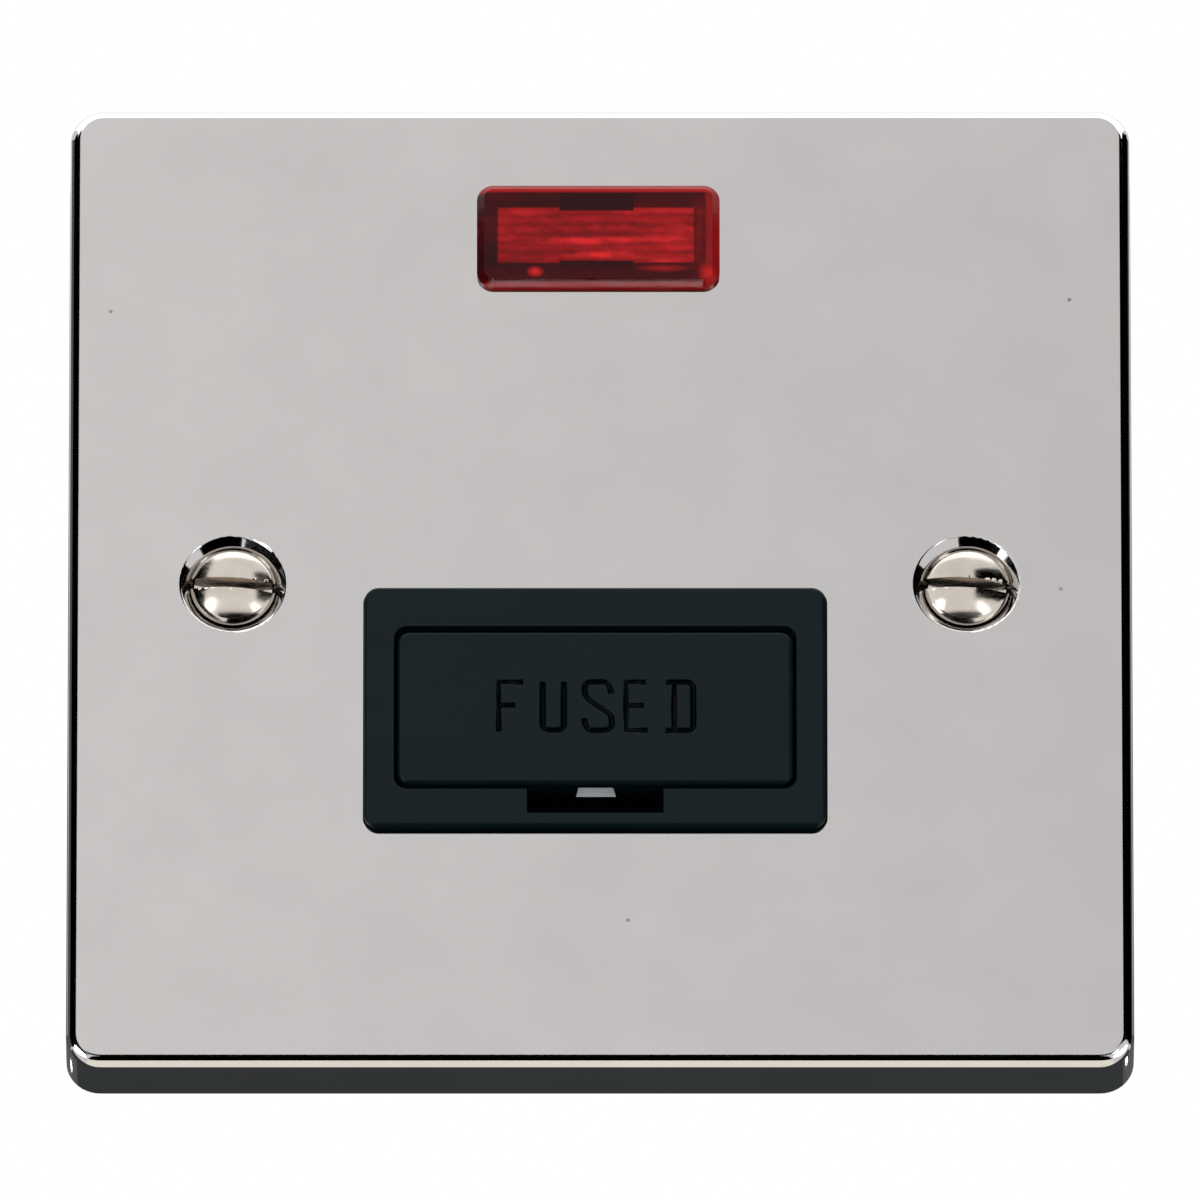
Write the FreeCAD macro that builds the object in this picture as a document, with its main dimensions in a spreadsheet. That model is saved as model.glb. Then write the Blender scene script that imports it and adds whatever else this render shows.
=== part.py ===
import FreeCAD, Part
import math
import os
import re

import Sketcher

V = FreeCAD.Vector
TOUCH = 1e-4
FRONT = "XZ_Plane"
SIDE = "YZ_Plane"
TOP = "XY_Plane"

# The unit stands as it does on a wall: X to the right, Y into the wall, Z up.
# The origin lies on the wall, midway between the two fixing screws.
# Forward distances run against Y, and back distances run along it.

# Driving dimensions in millimetres and degrees
SIZES = {
    # front plate
    "plate_width": 87.4,
    "plate_height": 87.4,
    "plate_depth": 5.7,
    "plate_sheet": 1.2,
    "plate_edge_radius": 0.9,
    "plate_corner_radius": 2.8,
    "opening_gap": 0.1,
    # fixing screws and their formed recesses
    "fixing_pitch": 60.3,
    "fixing_radius": 1.75,
    "fixing_length": 25.0,
    "fixing_tip_chamfer": 0.58,
    "fixing_head_radius": 3.5,
    "fixing_head_band": 0.2,
    "fixing_head_crown": 0.8,
    "fixing_slot_width": 0.9,
    "fixing_slot_depth": 1.3,
    "fixing_hole_gap": 0.2,
    "fixing_seat_gap": 0.15,
    "dimple_radius": 4.36,
    "dimple_wall": 1.3,
    "dimple_lip_radius": 0.3,
    "left_slot_tilt": 3.5,
    "right_slot_tilt": 3.5,
    # bezel, flange and well of the front insert
    "insert_across": -0.4,
    "bezel_border": 2.7,
    "bezel_height": 21.83,
    "bezel_up": -11.61,
    "bezel_proud": 0.9,
    "bezel_corner_radius": 1.2,
    "bezel_edge_radius": 0.35,
    "flange_thick": 2.0,
    "well_wall": 1.2,
    "well_strap_gap": 0.2,
    "guide_floor_gap": 1.0,
    "hook_side_gap": 0.3,
    "hook_stop_gap": 0.2,
    "notch_width": 11.2,
    "notch_height": 2.65,
    "notch_deep": 3.2,
    # fuse carrier
    "fuse_end_gap": 2.15,
    "carrier_height": 13.95,
    "carrier_up": -11.72,
    "carrier_gap": 0.27,
    "carrier_rise_gap": 0.45,
    "carrier_face": 2.2,
    "carrier_skirt": 2.7,
    "carrier_wall": 1.2,
    "carrier_corner_radius": 1.1,
    "carrier_edge_radius": 0.4,
    "carrier_travel": 13.0,
    "arm_thick": 1.4,
    "arm_height": 6.0,
    "arm_back": 12.5,
    "hook_long": 1.5,
    "hook_reach": 0.9,
    "prise_front_width": 2.9,
    "prise_rear_width": 3.4,
    "prise_long": 2.1,
    "prise_skin": 0.4,
    "prise_deep": 3.0,
    "saddle_cap_gap": 1.7,
    "saddle_width": 2.0,
    "saddle_wall": 1.0,
    "saddle_grip": 0.8,
    # cartridge fuse
    "fuse_length": 25.4,
    "fuse_cap_radius": 3.175,
    "fuse_cap_length": 5.5,
    "fuse_cap_end": 0.4,
    "fuse_cap_rounding": 0.3,
    "fuse_barrel_radius": 2.8,
    "fuse_fit": 0.03,
    "fuse_back": -0.2,
    "fuse_up": -13.3,
    # fuse clips and straps
    "strip_thick": 0.6,
    "clip_width": 4.5,
    "clip_gap": 0.1,
    "clip_leg": 1.0,
    "clip_flare": 0.4,
    "clip_tip_thick": 0.72,
    "clip_tail": 2.0,
    "strap_height": 3.4,
    "strap_clear": 1.5,
    # terminals
    "terminal_width": 7.6,
    "terminal_height": 8.0,
    "terminal_side_gap": 0.7,
    "terminal_window_gap": 0.15,
    "inner_terminal_across": 6.5,
    "earth_terminal_across": 8.0,
    "terminal_edge_radius": 0.4,
    "wire_radius": 2.1,
    "wire_back": 8.4,
    "clamp_radius": 1.55,
    "clamp_fit": 0.05,
    "clamp_length": 3.35,
    "clamp_sink": 0.1,
    "clamp_slot_width": 0.8,
    "clamp_slot_depth": 0.9,
    "strap_inset": 0.5,
    "earth_strap_width": 8.0,
    "earth_foot": 4.0,
    "earth_rise": 6.0,
    # rear housing
    "housing_side": 3.3,
    "housing_top": 14.0,
    "housing_bottom": -30.0,
    "housing_back": 16.4,
    "housing_wall": 1.5,
    "housing_floor": 2.2,
    "housing_corner_radius": 2.5,
    "housing_edge_radius": 0.8,
    "barrier_thick": 1.2,
    "barrier_long": 12.0,
    "access_radius": 2.1,
    "pod_width": 22.0,
    "pod_top": 34.5,
    "pod_back": 5.6,
    "pod_wall": 1.3,
    # pillars behind the plate, and the screws that hold the housing on them
    "pillar_upper": -5.5,
    "pillar_lower": -25.5,
    "pillar_radius": 1.7,
    "pillar_back": 2.0,
    "pillar_hole_deep": 4.6,
    "pillar_gap": 0.15,
    "boss_wall": 1.05,
    "boss_guide_gap": 1.08,
    "housing_screw_radius": 1.15,
    "housing_screw_fit": 0.05,
    "housing_screw_length": 15.8,
    "housing_screw_head_radius": 2.25,
    "housing_screw_head_height": 1.3,
    "housing_screw_slot_depth": 0.65,
    "housing_screw_recess": 1.5,
    "housing_screw_gap": 0.2,
    # indicator lens
    "lens_across": -0.15,
    "lens_up": 31.65,
    "lens_width": 20.0,
    "lens_height": 9.4,
    "lens_proud": 1.0,
    "lens_opening_gap": 0.2,
    "lens_bevel": 0.6,
    "lens_corner_radius": 1.4,
    "lens_rim_reach": 1.1,
    "lens_rim_drop": 1.5,
    "lens_wall": 0.85,
    "lens_body_deep": 2.7,
    "lens_rib_count": 6,
    "lens_rib_height": 0.5,
    "tab_width": 6.1,
    "tab_slit": 0.5,
    "tab_hook": 0.55,
    "tab_hook_long": 1.2,
    # indicator lamp and its wiring
    "lamp_radius": 2.5,
    "lamp_length": 12.0,
    "lamp_up": 30.4,
    "lamp_back": 0.6,
    "lamp_glass": 0.6,
    "lamp_tip_radius": 1.75,
    "lamp_base_radius": 0.75,
    "lamp_pinch": 2.2,
    "cradle_across": 4.0,
    "cradle_thick": 1.0,
    "lead_radius": 0.3,
    "lead_fit": 0.05,
    "lead_spacing": 1.6,
    "lead_inside": 9.0,
    "lead_bend": 1.0,
    "outer_lead_across": 9.0,
    "inner_lead_across": 7.2,
    "resistor_radius": 1.1,
    "resistor_length": 6.5,
    "resistor_end_radius": 0.37,
    "resistor_top": 24.5,
}

# Places that several pieces share, as expressions in those sizes
PLATE_INSIDE = "(plate_depth - plate_sheet)"
FLANGE_REAR = "(plate_depth - plate_sheet - flange_thick)"
BEZEL_FRONT = "(plate_depth + bezel_proud)"
DIMPLE_DEEP = "(dimple_radius - fixing_radius - fixing_hole_gap)"
CARRIER_WIDTH = "(fuse_length + 2 * (fuse_end_gap + arm_thick))"
BEZEL_WIDTH = f"({CARRIER_WIDTH} + 2 * bezel_border)"
WELL_WIDTH = f"({CARRIER_WIDTH} + 2 * carrier_gap)"
WELL_HEIGHT = "(carrier_height + 2 * carrier_rise_gap)"
CARRIER_REAR = "(plate_depth + bezel_proud - carrier_face - carrier_skirt)"
CARRIER_LOW = "(carrier_up - carrier_height / 2)"
SADDLE_ACROSS = "(fuse_length / 2 - fuse_cap_length - saddle_cap_gap - saddle_width / 2)"
CLIP_INNER = "(fuse_cap_radius + clip_gap)"
CLIP_OUTER = "(fuse_cap_radius + clip_gap + strip_thick)"
CLIP_ACROSS = "(fuse_length / 2 - fuse_cap_length / 2)"
STRAP_FRONT = "(fuse_back + fuse_cap_radius + clip_gap)"
STRAP_REAR = "(fuse_back + fuse_cap_radius + clip_gap + strip_thick)"
FLOOR_INSIDE = "(housing_back - housing_floor)"
HOUSING_CENTRE = "((housing_top + housing_bottom) / 2)"
HOUSING_HEIGHT = "(housing_top - housing_bottom)"
INNER_TOP = "(housing_top - housing_wall)"
INNER_BOTTOM = "(housing_bottom + housing_wall)"
LENS_BODY_WIDTH = "(lens_width - 2 * lens_rim_reach)"
LENS_BODY_HEIGHT = "(lens_height - 2 * lens_rim_drop)"
PILLAR_HOLE = "(housing_screw_radius + housing_screw_fit)"
BOSS_HOLE = "(housing_screw_radius + housing_screw_gap)"
PILLAR_ACROSS = f"({WELL_WIDTH} / 2 + well_wall + boss_guide_gap + boss_wall + {BOSS_HOLE})"
HOUSING_WIDTH = f"(2 * ({PILLAR_ACROSS} + housing_side))"

OUTER_TERMINAL = f"({HOUSING_WIDTH} / 2 - housing_wall - terminal_side_gap - terminal_width / 2)"
TOP_TERMINAL_UP = "(housing_top - terminal_height / 2)"
EARTH_TERMINAL_UP = "(housing_bottom + terminal_height / 2)"

TOP_TERMINALS = {
    "line_in": f"-{OUTER_TERMINAL}",
    "neutral_in": "-inner_terminal_across",
    "neutral_out": "inner_terminal_across",
    "line_out": OUTER_TERMINAL,
}
EARTH_TERMINALS = {
    "earth_in": "-earth_terminal_across",
    "earth_out": "earth_terminal_across",
}

doc = FreeCAD.newDocument("fused_spur_unit")
dims = doc.addObject("Spreadsheet::Sheet", "Dims")
for row, (name, size) in enumerate(SIZES.items(), start=1):
    dims.set(f"A{row}", name.replace("_", " "))
    dims.set(f"B{row}", str(size))
    dims.setAlias(f"B{row}", name)
doc.recompute()


# Helpers
def bound(text):
    """An expression in the sheet's aliases, as another object must write it."""
    return re.sub(r"\b[a-z]+(?:_[a-z]+)+\b", r"Dims.\g<0>", text)


def value(text):
    return float(dims.evalExpression(bound(text)))


def across(text):
    """A place across the unit, counted from the middle of the insert."""
    return f"insert_across + {text}"


def new_body(label):
    body = doc.addObject("PartDesign::Body", label)
    body.Label = label
    return body


def new_sketch(body, plane, offset="0", shift="0"):
    """A sketch on one of the body's origin planes, moved along and across it."""
    sketch = body.newObject("Sketcher::SketchObject", "sketch")
    support = [o for o in body.Origin.OriginFeatures if o.Role == plane][0]
    sketch.AttachmentSupport = [(support, "")]
    sketch.MapMode = "FlatFace"
    sketch.setExpression(".AttachmentOffset.Base.z", bound(offset))
    sketch.setExpression(".AttachmentOffset.Base.x", bound(shift))
    return sketch


def pin_point(sketch, edge, end, right, up):
    """Tie a point of the sketch to its place by two distances from the origin."""
    for kind, text in (("DistanceX", right), ("DistanceY", up)):
        place = sketch.addConstraint(Sketcher.Constraint(kind, -1, 1, edge, end, value(text)))
        sketch.setExpression(f"Constraints[{place}]", bound(text))


def arc_between(start, end, radius):
    """The short arc from start to end: anticlockwise if radius is positive."""
    chord = end - start
    left = V(-chord.y, chord.x, 0).normalize()
    rise = math.sqrt(max(radius**2 - (chord.Length / 2) ** 2, 0))
    centre = (start + end) * 0.5 + left * math.copysign(rise, radius)
    first, last = (start, end) if radius > 0 else (end, start)
    angles = [math.atan2(p.y - centre.y, p.x - centre.x) for p in (first, last)]
    return Part.ArcOfCircle(Part.Circle(centre, V(0, 0, 1), abs(radius)), *angles)


def outline(sketch, corners):
    """A closed outline: each corner is (right, up), with a radius if an arc leaves it."""
    spots = [V(value(corner[0]), value(corner[1]), 0) for corner in corners]
    ends = []
    for start, end, corner in zip(spots, spots[1:] + spots[:1], corners):
        if len(corner) == 2:
            ends.append((sketch.addGeometry(Part.LineSegment(start, end)), 1, 2))
            continue
        radius = value(corner[2])
        edge = sketch.addGeometry(arc_between(start, end, radius))
        ends.append((edge, 1, 2) if radius > 0 else (edge, 2, 1))
        place = sketch.addConstraint(Sketcher.Constraint("Radius", edge, abs(radius)))
        sketch.setExpression(f"Constraints[{place}]", bound(f"abs({corner[2]})"))
    for (edge, first, last), (following, start, _), corner in zip(ends, ends[1:] + ends[:1], corners):
        sketch.addConstraint(Sketcher.Constraint("Coincident", edge, last, following, start))
        pin_point(sketch, edge, first, corner[0], corner[1])


def rectangle(sketch, right, up, width, height):
    low_x, high_x = (f"{right} {sign} ({width}) / 2" for sign in "-+")
    low_z, high_z = (f"{up} {sign} ({height}) / 2" for sign in "-+")
    outline(sketch, [(low_x, low_z), (high_x, low_z), (high_x, high_z), (low_x, high_z)])


def circle(sketch, right, up, radius):
    centre = V(value(right), value(up), 0)
    edge = sketch.addGeometry(Part.Circle(centre, V(0, 0, 1), value(radius)))
    pin_point(sketch, edge, 3, right, up)
    place = sketch.addConstraint(Sketcher.Constraint("Radius", edge, value(radius)))
    sketch.setExpression(f"Constraints[{place}]", bound(radius))


def pad(body, sketch, length, flip=False):
    feature = body.newObject("PartDesign::Pad", "pad")
    feature.Profile = sketch
    feature.Reversed = flip
    feature.setExpression("Length", bound(length))
    doc.recompute()
    return feature


def pocket(body, sketch, length, flip=False):
    """Cut the sketch's outline out of the body, against the sketch's normal unless flipped."""
    before = body.Shape.Volume
    feature = body.newObject("PartDesign::Pocket", "pocket")
    feature.Profile = sketch
    feature.Reversed = flip
    feature.setExpression("Length", bound(length))
    doc.recompute()
    if body.Shape.Volume > before - TOUCH:
        raise RuntimeError(f"a pocket of {body.Label} cuts nothing")
    return feature


def turn(body, sketch, kind="Revolution", axis="V_Axis"):
    feature = body.newObject(f"PartDesign::{kind}", kind.lower())
    feature.Profile = sketch
    feature.ReferenceAxis = (sketch, [axis])
    feature.Angle = 360
    doc.recompute()
    return feature


def soften(body, radius, chosen, kind="Fillet"):
    """Round or chamfer the edges of the body that the test picks."""
    edges = [f"Edge{i}" for i, edge in enumerate(body.Shape.Edges, 1) if chosen(edge)]
    if not edges:
        raise RuntimeError(f"{body.Label} has no such edge to soften")
    base = body.Tip
    feature = body.newObject(f"PartDesign::{kind}", kind.lower())
    feature.Base = (base, edges)
    feature.setExpression("Radius" if kind == "Fillet" else "Size", bound(radius))
    doc.recompute()
    return feature


def runs_back(edge):
    box = edge.BoundBox
    return box.YLength > TOUCH and box.XLength < TOUCH and box.ZLength < TOUCH


def lies_forward(edge, distance):
    """True for an edge in the plane at this distance forward of the wall."""
    box = edge.BoundBox
    return abs(box.YMin + distance) < TOUCH and abs(box.YMax + distance) < TOUCH


def within(edge, right, up, width, height):
    """True for an edge whose middle lies in this rectangle, seen from the front."""
    middle = edge.BoundBox.Center
    beside = abs(middle.x - value(right)) < value(width) / 2 + TOUCH
    return beside and abs(middle.z - value(up)) < value(height) / 2 + TOUCH


def place(body, right="0", back="0", up="0"):
    for letter, text in (("x", right), ("y", back), ("z", up)):
        body.setExpression(f".Placement.Base.{letter}", bound(text))


# Front plate: a drawn sheet with two formed recesses, two openings and four pillars
def plate_recess(body, side):
    """A countersunk cup pressed into the sheet, as thick behind as the sheet allows."""
    middle = f"{side} * fixing_pitch / 2"
    hole = "(fixing_radius + fixing_hole_gap)"
    bottom = f"-(plate_depth - {DIMPLE_DEEP})"
    cup = new_sketch(body, TOP, shift=middle)
    sheet_middle = "-(plate_depth - plate_sheet / 2)"
    outline(cup, [
        ("0", sheet_middle),
        (f"{hole} + dimple_wall + {DIMPLE_DEEP} - plate_sheet / 2", sheet_middle),
        (f"{hole} + dimple_wall", bottom),
        ("0", bottom),
    ])
    turn(body, cup)
    cone = new_sketch(body, TOP, shift=middle)
    outline(cone, [
        ("0", "-(plate_depth + plate_sheet)"),
        ("dimple_radius + plate_sheet", "-(plate_depth + plate_sheet)"),
        (hole, bottom),
        (hole, f"{bottom} + plate_sheet"),
        ("0", f"{bottom} + plate_sheet"),
    ])
    turn(body, cone, "Groove")


def front_plate():
    body = new_body("front_plate")
    tray = new_sketch(body, FRONT)
    rectangle(tray, "0", "0", "plate_width", "plate_height")
    pad(body, tray, "plate_depth")
    soften(body, "plate_corner_radius", runs_back)
    soften(body, "plate_edge_radius", lambda edge: lies_forward(edge, value("plate_depth")))
    hollow = new_sketch(body, FRONT, PLATE_INSIDE)
    rectangle(hollow, "0", "0", "plate_width - 2 * plate_sheet", "plate_height - 2 * plate_sheet")
    pocket(body, hollow, PLATE_INSIDE)
    inner = ("0", "0", "plate_width - plate_sheet", "plate_height - plate_sheet")
    soften(body, "plate_corner_radius - plate_sheet", lambda edge: runs_back(edge) and within(edge, *inner))
    for side in (-1, 1):
        plate_recess(body, side)
    soften(body, "dimple_lip_radius", lambda edge: (
        lies_forward(edge, value("plate_depth"))
        and within(edge, "0", "0", "fixing_pitch + dimple_radius", "dimple_radius")
    ))
    pillars = new_sketch(body, FRONT, PLATE_INSIDE)
    holes = new_sketch(body, FRONT, "-pillar_back")
    for side in ("-", "+"):
        for level in ("pillar_upper", "pillar_lower"):
            circle(pillars, f"insert_across {side} {PILLAR_ACROSS}", level, "pillar_radius")
            circle(holes, f"insert_across {side} {PILLAR_ACROSS}", level, PILLAR_HOLE)
    pad(body, pillars, f"{PLATE_INSIDE} + pillar_back", flip=True)
    pocket(body, holes, "pillar_hole_deep", flip=True)
    window = new_sketch(body, FRONT, "plate_depth")
    bezel_hole = ("insert_across", "bezel_up", f"{BEZEL_WIDTH} + 2 * opening_gap",
                  "bezel_height + 2 * opening_gap")
    lens_hole = ("lens_across", "lens_up", f"{LENS_BODY_WIDTH} + 2 * lens_opening_gap",
                 f"{LENS_BODY_HEIGHT} + 2 * lens_opening_gap")
    rectangle(window, *bezel_hole)
    rectangle(window, *lens_hole)
    pocket(body, window, "plate_sheet")
    soften(body, "bezel_corner_radius", lambda edge: runs_back(edge) and within(edge, *bezel_hole))
    return body


# Fixing screws: raised countersunk heads with a slot
def fixing_screw(label, side, tilt):
    body = new_body(label)
    seat = f"(plate_depth - {DIMPLE_DEEP} + fixing_head_radius - fixing_radius - fixing_hole_gap)"
    cone_top = f"({seat} + fixing_seat_gap)"
    crown_rim = f"({cone_top} + fixing_head_band)"
    crown_top = f"({crown_rim} + fixing_head_crown)"
    crown = "((fixing_head_radius ^ 2 + fixing_head_crown ^ 2) / (2 * fixing_head_crown))"
    tip = f"(fixing_length - {crown_top})"
    profile = new_sketch(body, TOP)
    outline(profile, [
        ("0", f"-{crown_top}", crown),
        ("fixing_head_radius", f"-{crown_rim}"),
        ("fixing_head_radius", f"-{cone_top}"),
        ("fixing_radius", f"-{cone_top} + fixing_head_radius - fixing_radius"),
        ("fixing_radius", f"{tip} - fixing_tip_chamfer"),
        ("fixing_radius - fixing_tip_chamfer", tip),
        ("0", tip),
    ])
    turn(body, profile)
    slot = new_sketch(body, FRONT, crown_top)
    rectangle(slot, "0", "0", "2 * fixing_head_radius + fixing_slot_width", "fixing_slot_width")
    pocket(body, slot, "fixing_slot_depth")
    body.Placement = FreeCAD.Placement(V(0, 0, 0), FreeCAD.Rotation(V(0, 1, 0), value(tilt)))
    place(body, right=f"{side} * fixing_pitch / 2")
    return body


# Front insert: the bezel, the flange behind the plate and the well of the fuse carrier
def front_insert():
    body = new_body("front_insert")
    flange = new_sketch(body, FRONT, FLANGE_REAR)
    rectangle(flange, "insert_across", HOUSING_CENTRE, HOUSING_WIDTH, HOUSING_HEIGHT)
    pad(body, flange, "flange_thick")
    soften(body, "housing_corner_radius", runs_back)
    bezel = new_sketch(body, FRONT, PLATE_INSIDE)
    rectangle(bezel, "insert_across", "bezel_up", BEZEL_WIDTH, "bezel_height")
    pad(body, bezel, "plate_sheet + bezel_proud")
    inside_flange = ("insert_across", "bezel_up", BEZEL_WIDTH, "bezel_height")
    soften(body, "bezel_corner_radius", lambda edge: runs_back(edge) and within(edge, *inside_flange))
    soften(body, "bezel_edge_radius", lambda edge: lies_forward(edge, value(BEZEL_FRONT)))
    well = new_sketch(body, FRONT, FLANGE_REAR)
    rectangle(well, "insert_across", "carrier_up", f"{WELL_WIDTH} + 2 * well_wall", f"{WELL_HEIGHT} + 2 * well_wall")
    pad(body, well, f"{FLANGE_REAR} + {STRAP_FRONT} - well_strap_gap", flip=True)
    guides = new_sketch(body, FRONT, FLANGE_REAR)
    guide_height = "arm_height + 2 * carrier_gap + 2 * well_wall"
    for side in "-+":
        rectangle(guides, f"insert_across {side} ({WELL_WIDTH} / 2 + well_wall / 2)", "carrier_up",
                  "well_wall", guide_height)
    pad(body, guides, f"{FLANGE_REAR} + {FLOOR_INSIDE} - guide_floor_gap", flip=True)
    cavity = new_sketch(body, FRONT, BEZEL_FRONT)
    rectangle(cavity, "insert_across", "carrier_up", WELL_WIDTH, WELL_HEIGHT)
    pocket(body, cavity, f"{BEZEL_FRONT} + {FLOOR_INSIDE}")
    cavity_edge = ("insert_across", "carrier_up", WELL_WIDTH, WELL_HEIGHT)
    soften(body, "carrier_corner_radius", lambda edge: runs_back(edge) and within(edge, *cavity_edge)
           and edge.BoundBox.YMin < -value("plate_depth"))
    hook_slot = new_sketch(body, FRONT, "-(arm_back - hook_long - carrier_travel - hook_stop_gap)")
    rectangle(hook_slot, "insert_across", "carrier_up",
              f"{WELL_WIDTH} + 2 * well_wall + 2 * hook_side_gap", "arm_height + 2 * hook_side_gap")
    pocket(body, hook_slot, f"{FLOOR_INSIDE} + plate_depth")
    notch = new_sketch(body, FRONT, BEZEL_FRONT)
    rectangle(notch, "insert_across", f"{CARRIER_LOW} - notch_height / 2", "notch_width", "notch_height")
    pocket(body, notch, "notch_deep")
    passages = new_sketch(body, FRONT, PLATE_INSIDE)
    for side in "-+":
        for level in ("pillar_upper", "pillar_lower"):
            circle(passages, f"insert_across {side} {PILLAR_ACROSS}", level, "pillar_radius + pillar_gap")
    rectangle(passages, "insert_across", f"{INNER_BOTTOM} + (earth_foot + strap_inset) / 2",
              "earth_strap_width + 2 * strap_inset", "earth_foot + strap_inset + strip_thick")
    pocket(body, passages, "flange_thick")
    return body


# Fuse carrier: the drawer's face, its prise slot, two saddles and two hooked arms
def fuse_carrier():
    body = new_body("fuse_carrier")
    block = new_sketch(body, FRONT, CARRIER_REAR)
    rectangle(block, "insert_across", "carrier_up", CARRIER_WIDTH, "carrier_height")
    pad(body, block, "carrier_face + carrier_skirt")
    soften(body, "carrier_corner_radius", runs_back)
    soften(body, "carrier_edge_radius", lambda edge: lies_forward(edge, value(BEZEL_FRONT)))
    hollow = new_sketch(body, FRONT, CARRIER_REAR)
    rectangle(hollow, "insert_across", "carrier_up", f"{CARRIER_WIDTH} - 2 * carrier_wall",
              "carrier_height - 2 * carrier_wall")
    pocket(body, hollow, "carrier_skirt", flip=True)
    carrier_arms(body)
    carrier_saddles(body)
    prise_slot(body)
    return body


def carrier_arms(body):
    face_rear = f"({CARRIER_REAR} + carrier_skirt)"
    arms = new_sketch(body, FRONT, face_rear)
    hooks = new_sketch(body, FRONT, "hook_long - arm_back")
    for side in "-+":
        rectangle(arms, f"insert_across {side} ({CARRIER_WIDTH} - arm_thick) / 2", "carrier_up",
                  "arm_thick", "arm_height")
        rectangle(hooks, f"insert_across {side} ({CARRIER_WIDTH} - arm_thick + hook_reach) / 2",
                  "carrier_up", "arm_thick + hook_reach", "arm_height")
    pad(body, arms, f"{face_rear} + arm_back", flip=True)
    pad(body, hooks, "hook_long", flip=True)


def carrier_saddles(body):
    """Two grooved blocks that hold the fuse by its barrel, just past its middle."""
    face_rear = f"({CARRIER_REAR} + carrier_skirt)"
    saddles = new_sketch(body, FRONT, face_rear)
    for side in "-+":
        rectangle(saddles, f"insert_across {side} {SADDLE_ACROSS}", "fuse_up", "saddle_width",
                  "2 * (fuse_barrel_radius + saddle_wall)")
    pad(body, saddles, f"{face_rear} + fuse_back + saddle_grip", flip=True)
    groove = new_sketch(body, SIDE, f"insert_across - {SADDLE_ACROSS} - saddle_width")
    circle(groove, "fuse_back", "fuse_up", "fuse_barrel_radius + fuse_fit")
    pocket(body, groove, f"2 * ({SADDLE_ACROSS} + saddle_width)", flip=True)


def prise_slot(body):
    """The slot under the face that takes a screwdriver's tip, wider at the rear."""
    front = f"-({BEZEL_FRONT} - prise_skin)"
    slot = new_sketch(body, TOP, CARRIER_LOW, shift="insert_across")
    outline(slot, [
        ("-prise_front_width / 2", front),
        ("prise_front_width / 2", front),
        ("prise_rear_width / 2", f"{front} + prise_long"),
        ("-prise_rear_width / 2", f"{front} + prise_long"),
    ])
    pocket(body, slot, "prise_deep", flip=True)


# Cartridge fuse: a ceramic barrel between two metal caps
def fuse_barrel():
    body = new_body("fuse_barrel")
    section = new_sketch(body, SIDE, "insert_across - fuse_length / 2 + fuse_cap_end")
    circle(section, "fuse_back", "fuse_up", "fuse_barrel_radius")
    pad(body, section, "fuse_length - 2 * fuse_cap_end")
    return body


def fuse_cap(label, side):
    body = new_body(label)
    start = f"insert_across + {side} * (fuse_length / 2 - fuse_cap_length / 2) - fuse_cap_length / 2"
    section = new_sketch(body, SIDE, start)
    circle(section, "fuse_back", "fuse_up", "fuse_cap_radius")
    pad(body, section, "fuse_cap_length")
    soften(body, "fuse_cap_rounding", lambda edge: edge.BoundBox.XLength < TOUCH)
    bore_start = f"insert_across + {side} * (fuse_length / 2 - fuse_cap_length)"
    bore = new_sketch(body, SIDE, bore_start)
    circle(bore, "fuse_back", "fuse_up", "fuse_barrel_radius + fuse_fit")
    pocket(body, bore, "fuse_cap_length - fuse_cap_end", flip=side > 0)
    return body


# Fuse clips: a sprung U for each cap, with the strap that leads to its terminal
def clip_profile(sketch):
    tip = "fuse_back - clip_leg - clip_flare"
    flare = f"({CLIP_INNER} + clip_flare)"
    flare_outer = f"({flare} + clip_tip_thick)"
    leg = "fuse_back - clip_leg"
    outline(sketch, [
        (tip, f"fuse_up + {flare}"),
        (leg, f"fuse_up + {CLIP_INNER}"),
        ("fuse_back", f"fuse_up + {CLIP_INNER}", f"-{CLIP_INNER}"),
        (f"fuse_back + {CLIP_INNER}", "fuse_up", f"-{CLIP_INNER}"),
        ("fuse_back", f"fuse_up - {CLIP_INNER}"),
        (leg, f"fuse_up - {CLIP_INNER}"),
        (tip, f"fuse_up - {flare}"),
        (tip, f"fuse_up - {flare_outer}"),
        (leg, f"fuse_up - {CLIP_OUTER}"),
        ("fuse_back", f"fuse_up - {CLIP_OUTER}", CLIP_OUTER),
        (f"fuse_back + {CLIP_OUTER}", "fuse_up", CLIP_OUTER),
        ("fuse_back", f"fuse_up + {CLIP_OUTER}"),
        (leg, f"fuse_up + {CLIP_OUTER}"),
        (tip, f"fuse_up + {flare_outer}"),
    ])


def fuse_clip(label, side):
    body = new_body(label)
    jaws = new_sketch(body, SIDE, f"insert_across + {side} * {CLIP_ACROSS} - clip_width / 2")
    clip_profile(jaws)
    pad(body, jaws, "clip_width")
    strap = new_sketch(body, FRONT, f"-{STRAP_FRONT}")
    inner = f"insert_across + {side} * ({CLIP_ACROSS} - clip_width / 2)"
    outer = f"insert_across + {side} * ({CLIP_ACROSS} + clip_width / 2)"
    pad_inner = f"insert_across + {side} * ({OUTER_TERMINAL} - terminal_width / 2)"
    pad_outer = f"insert_across + {side} * ({OUTER_TERMINAL} + terminal_width / 2)"
    low = f"(carrier_up + {WELL_HEIGHT} / 2 + well_wall + strap_clear)"
    high = f"({low} + strap_height)"
    top = f"{INNER_TOP} - strap_inset"
    outline(strap, [
        (inner, "fuse_up - clip_tail"),
        (outer, "fuse_up - clip_tail"),
        (outer, low),
        (pad_outer, low),
        (pad_outer, top),
        (pad_inner, top),
        (pad_inner, high),
        (inner, high),
    ])
    pad(body, strap, "strip_thick", flip=True)
    return body


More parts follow.
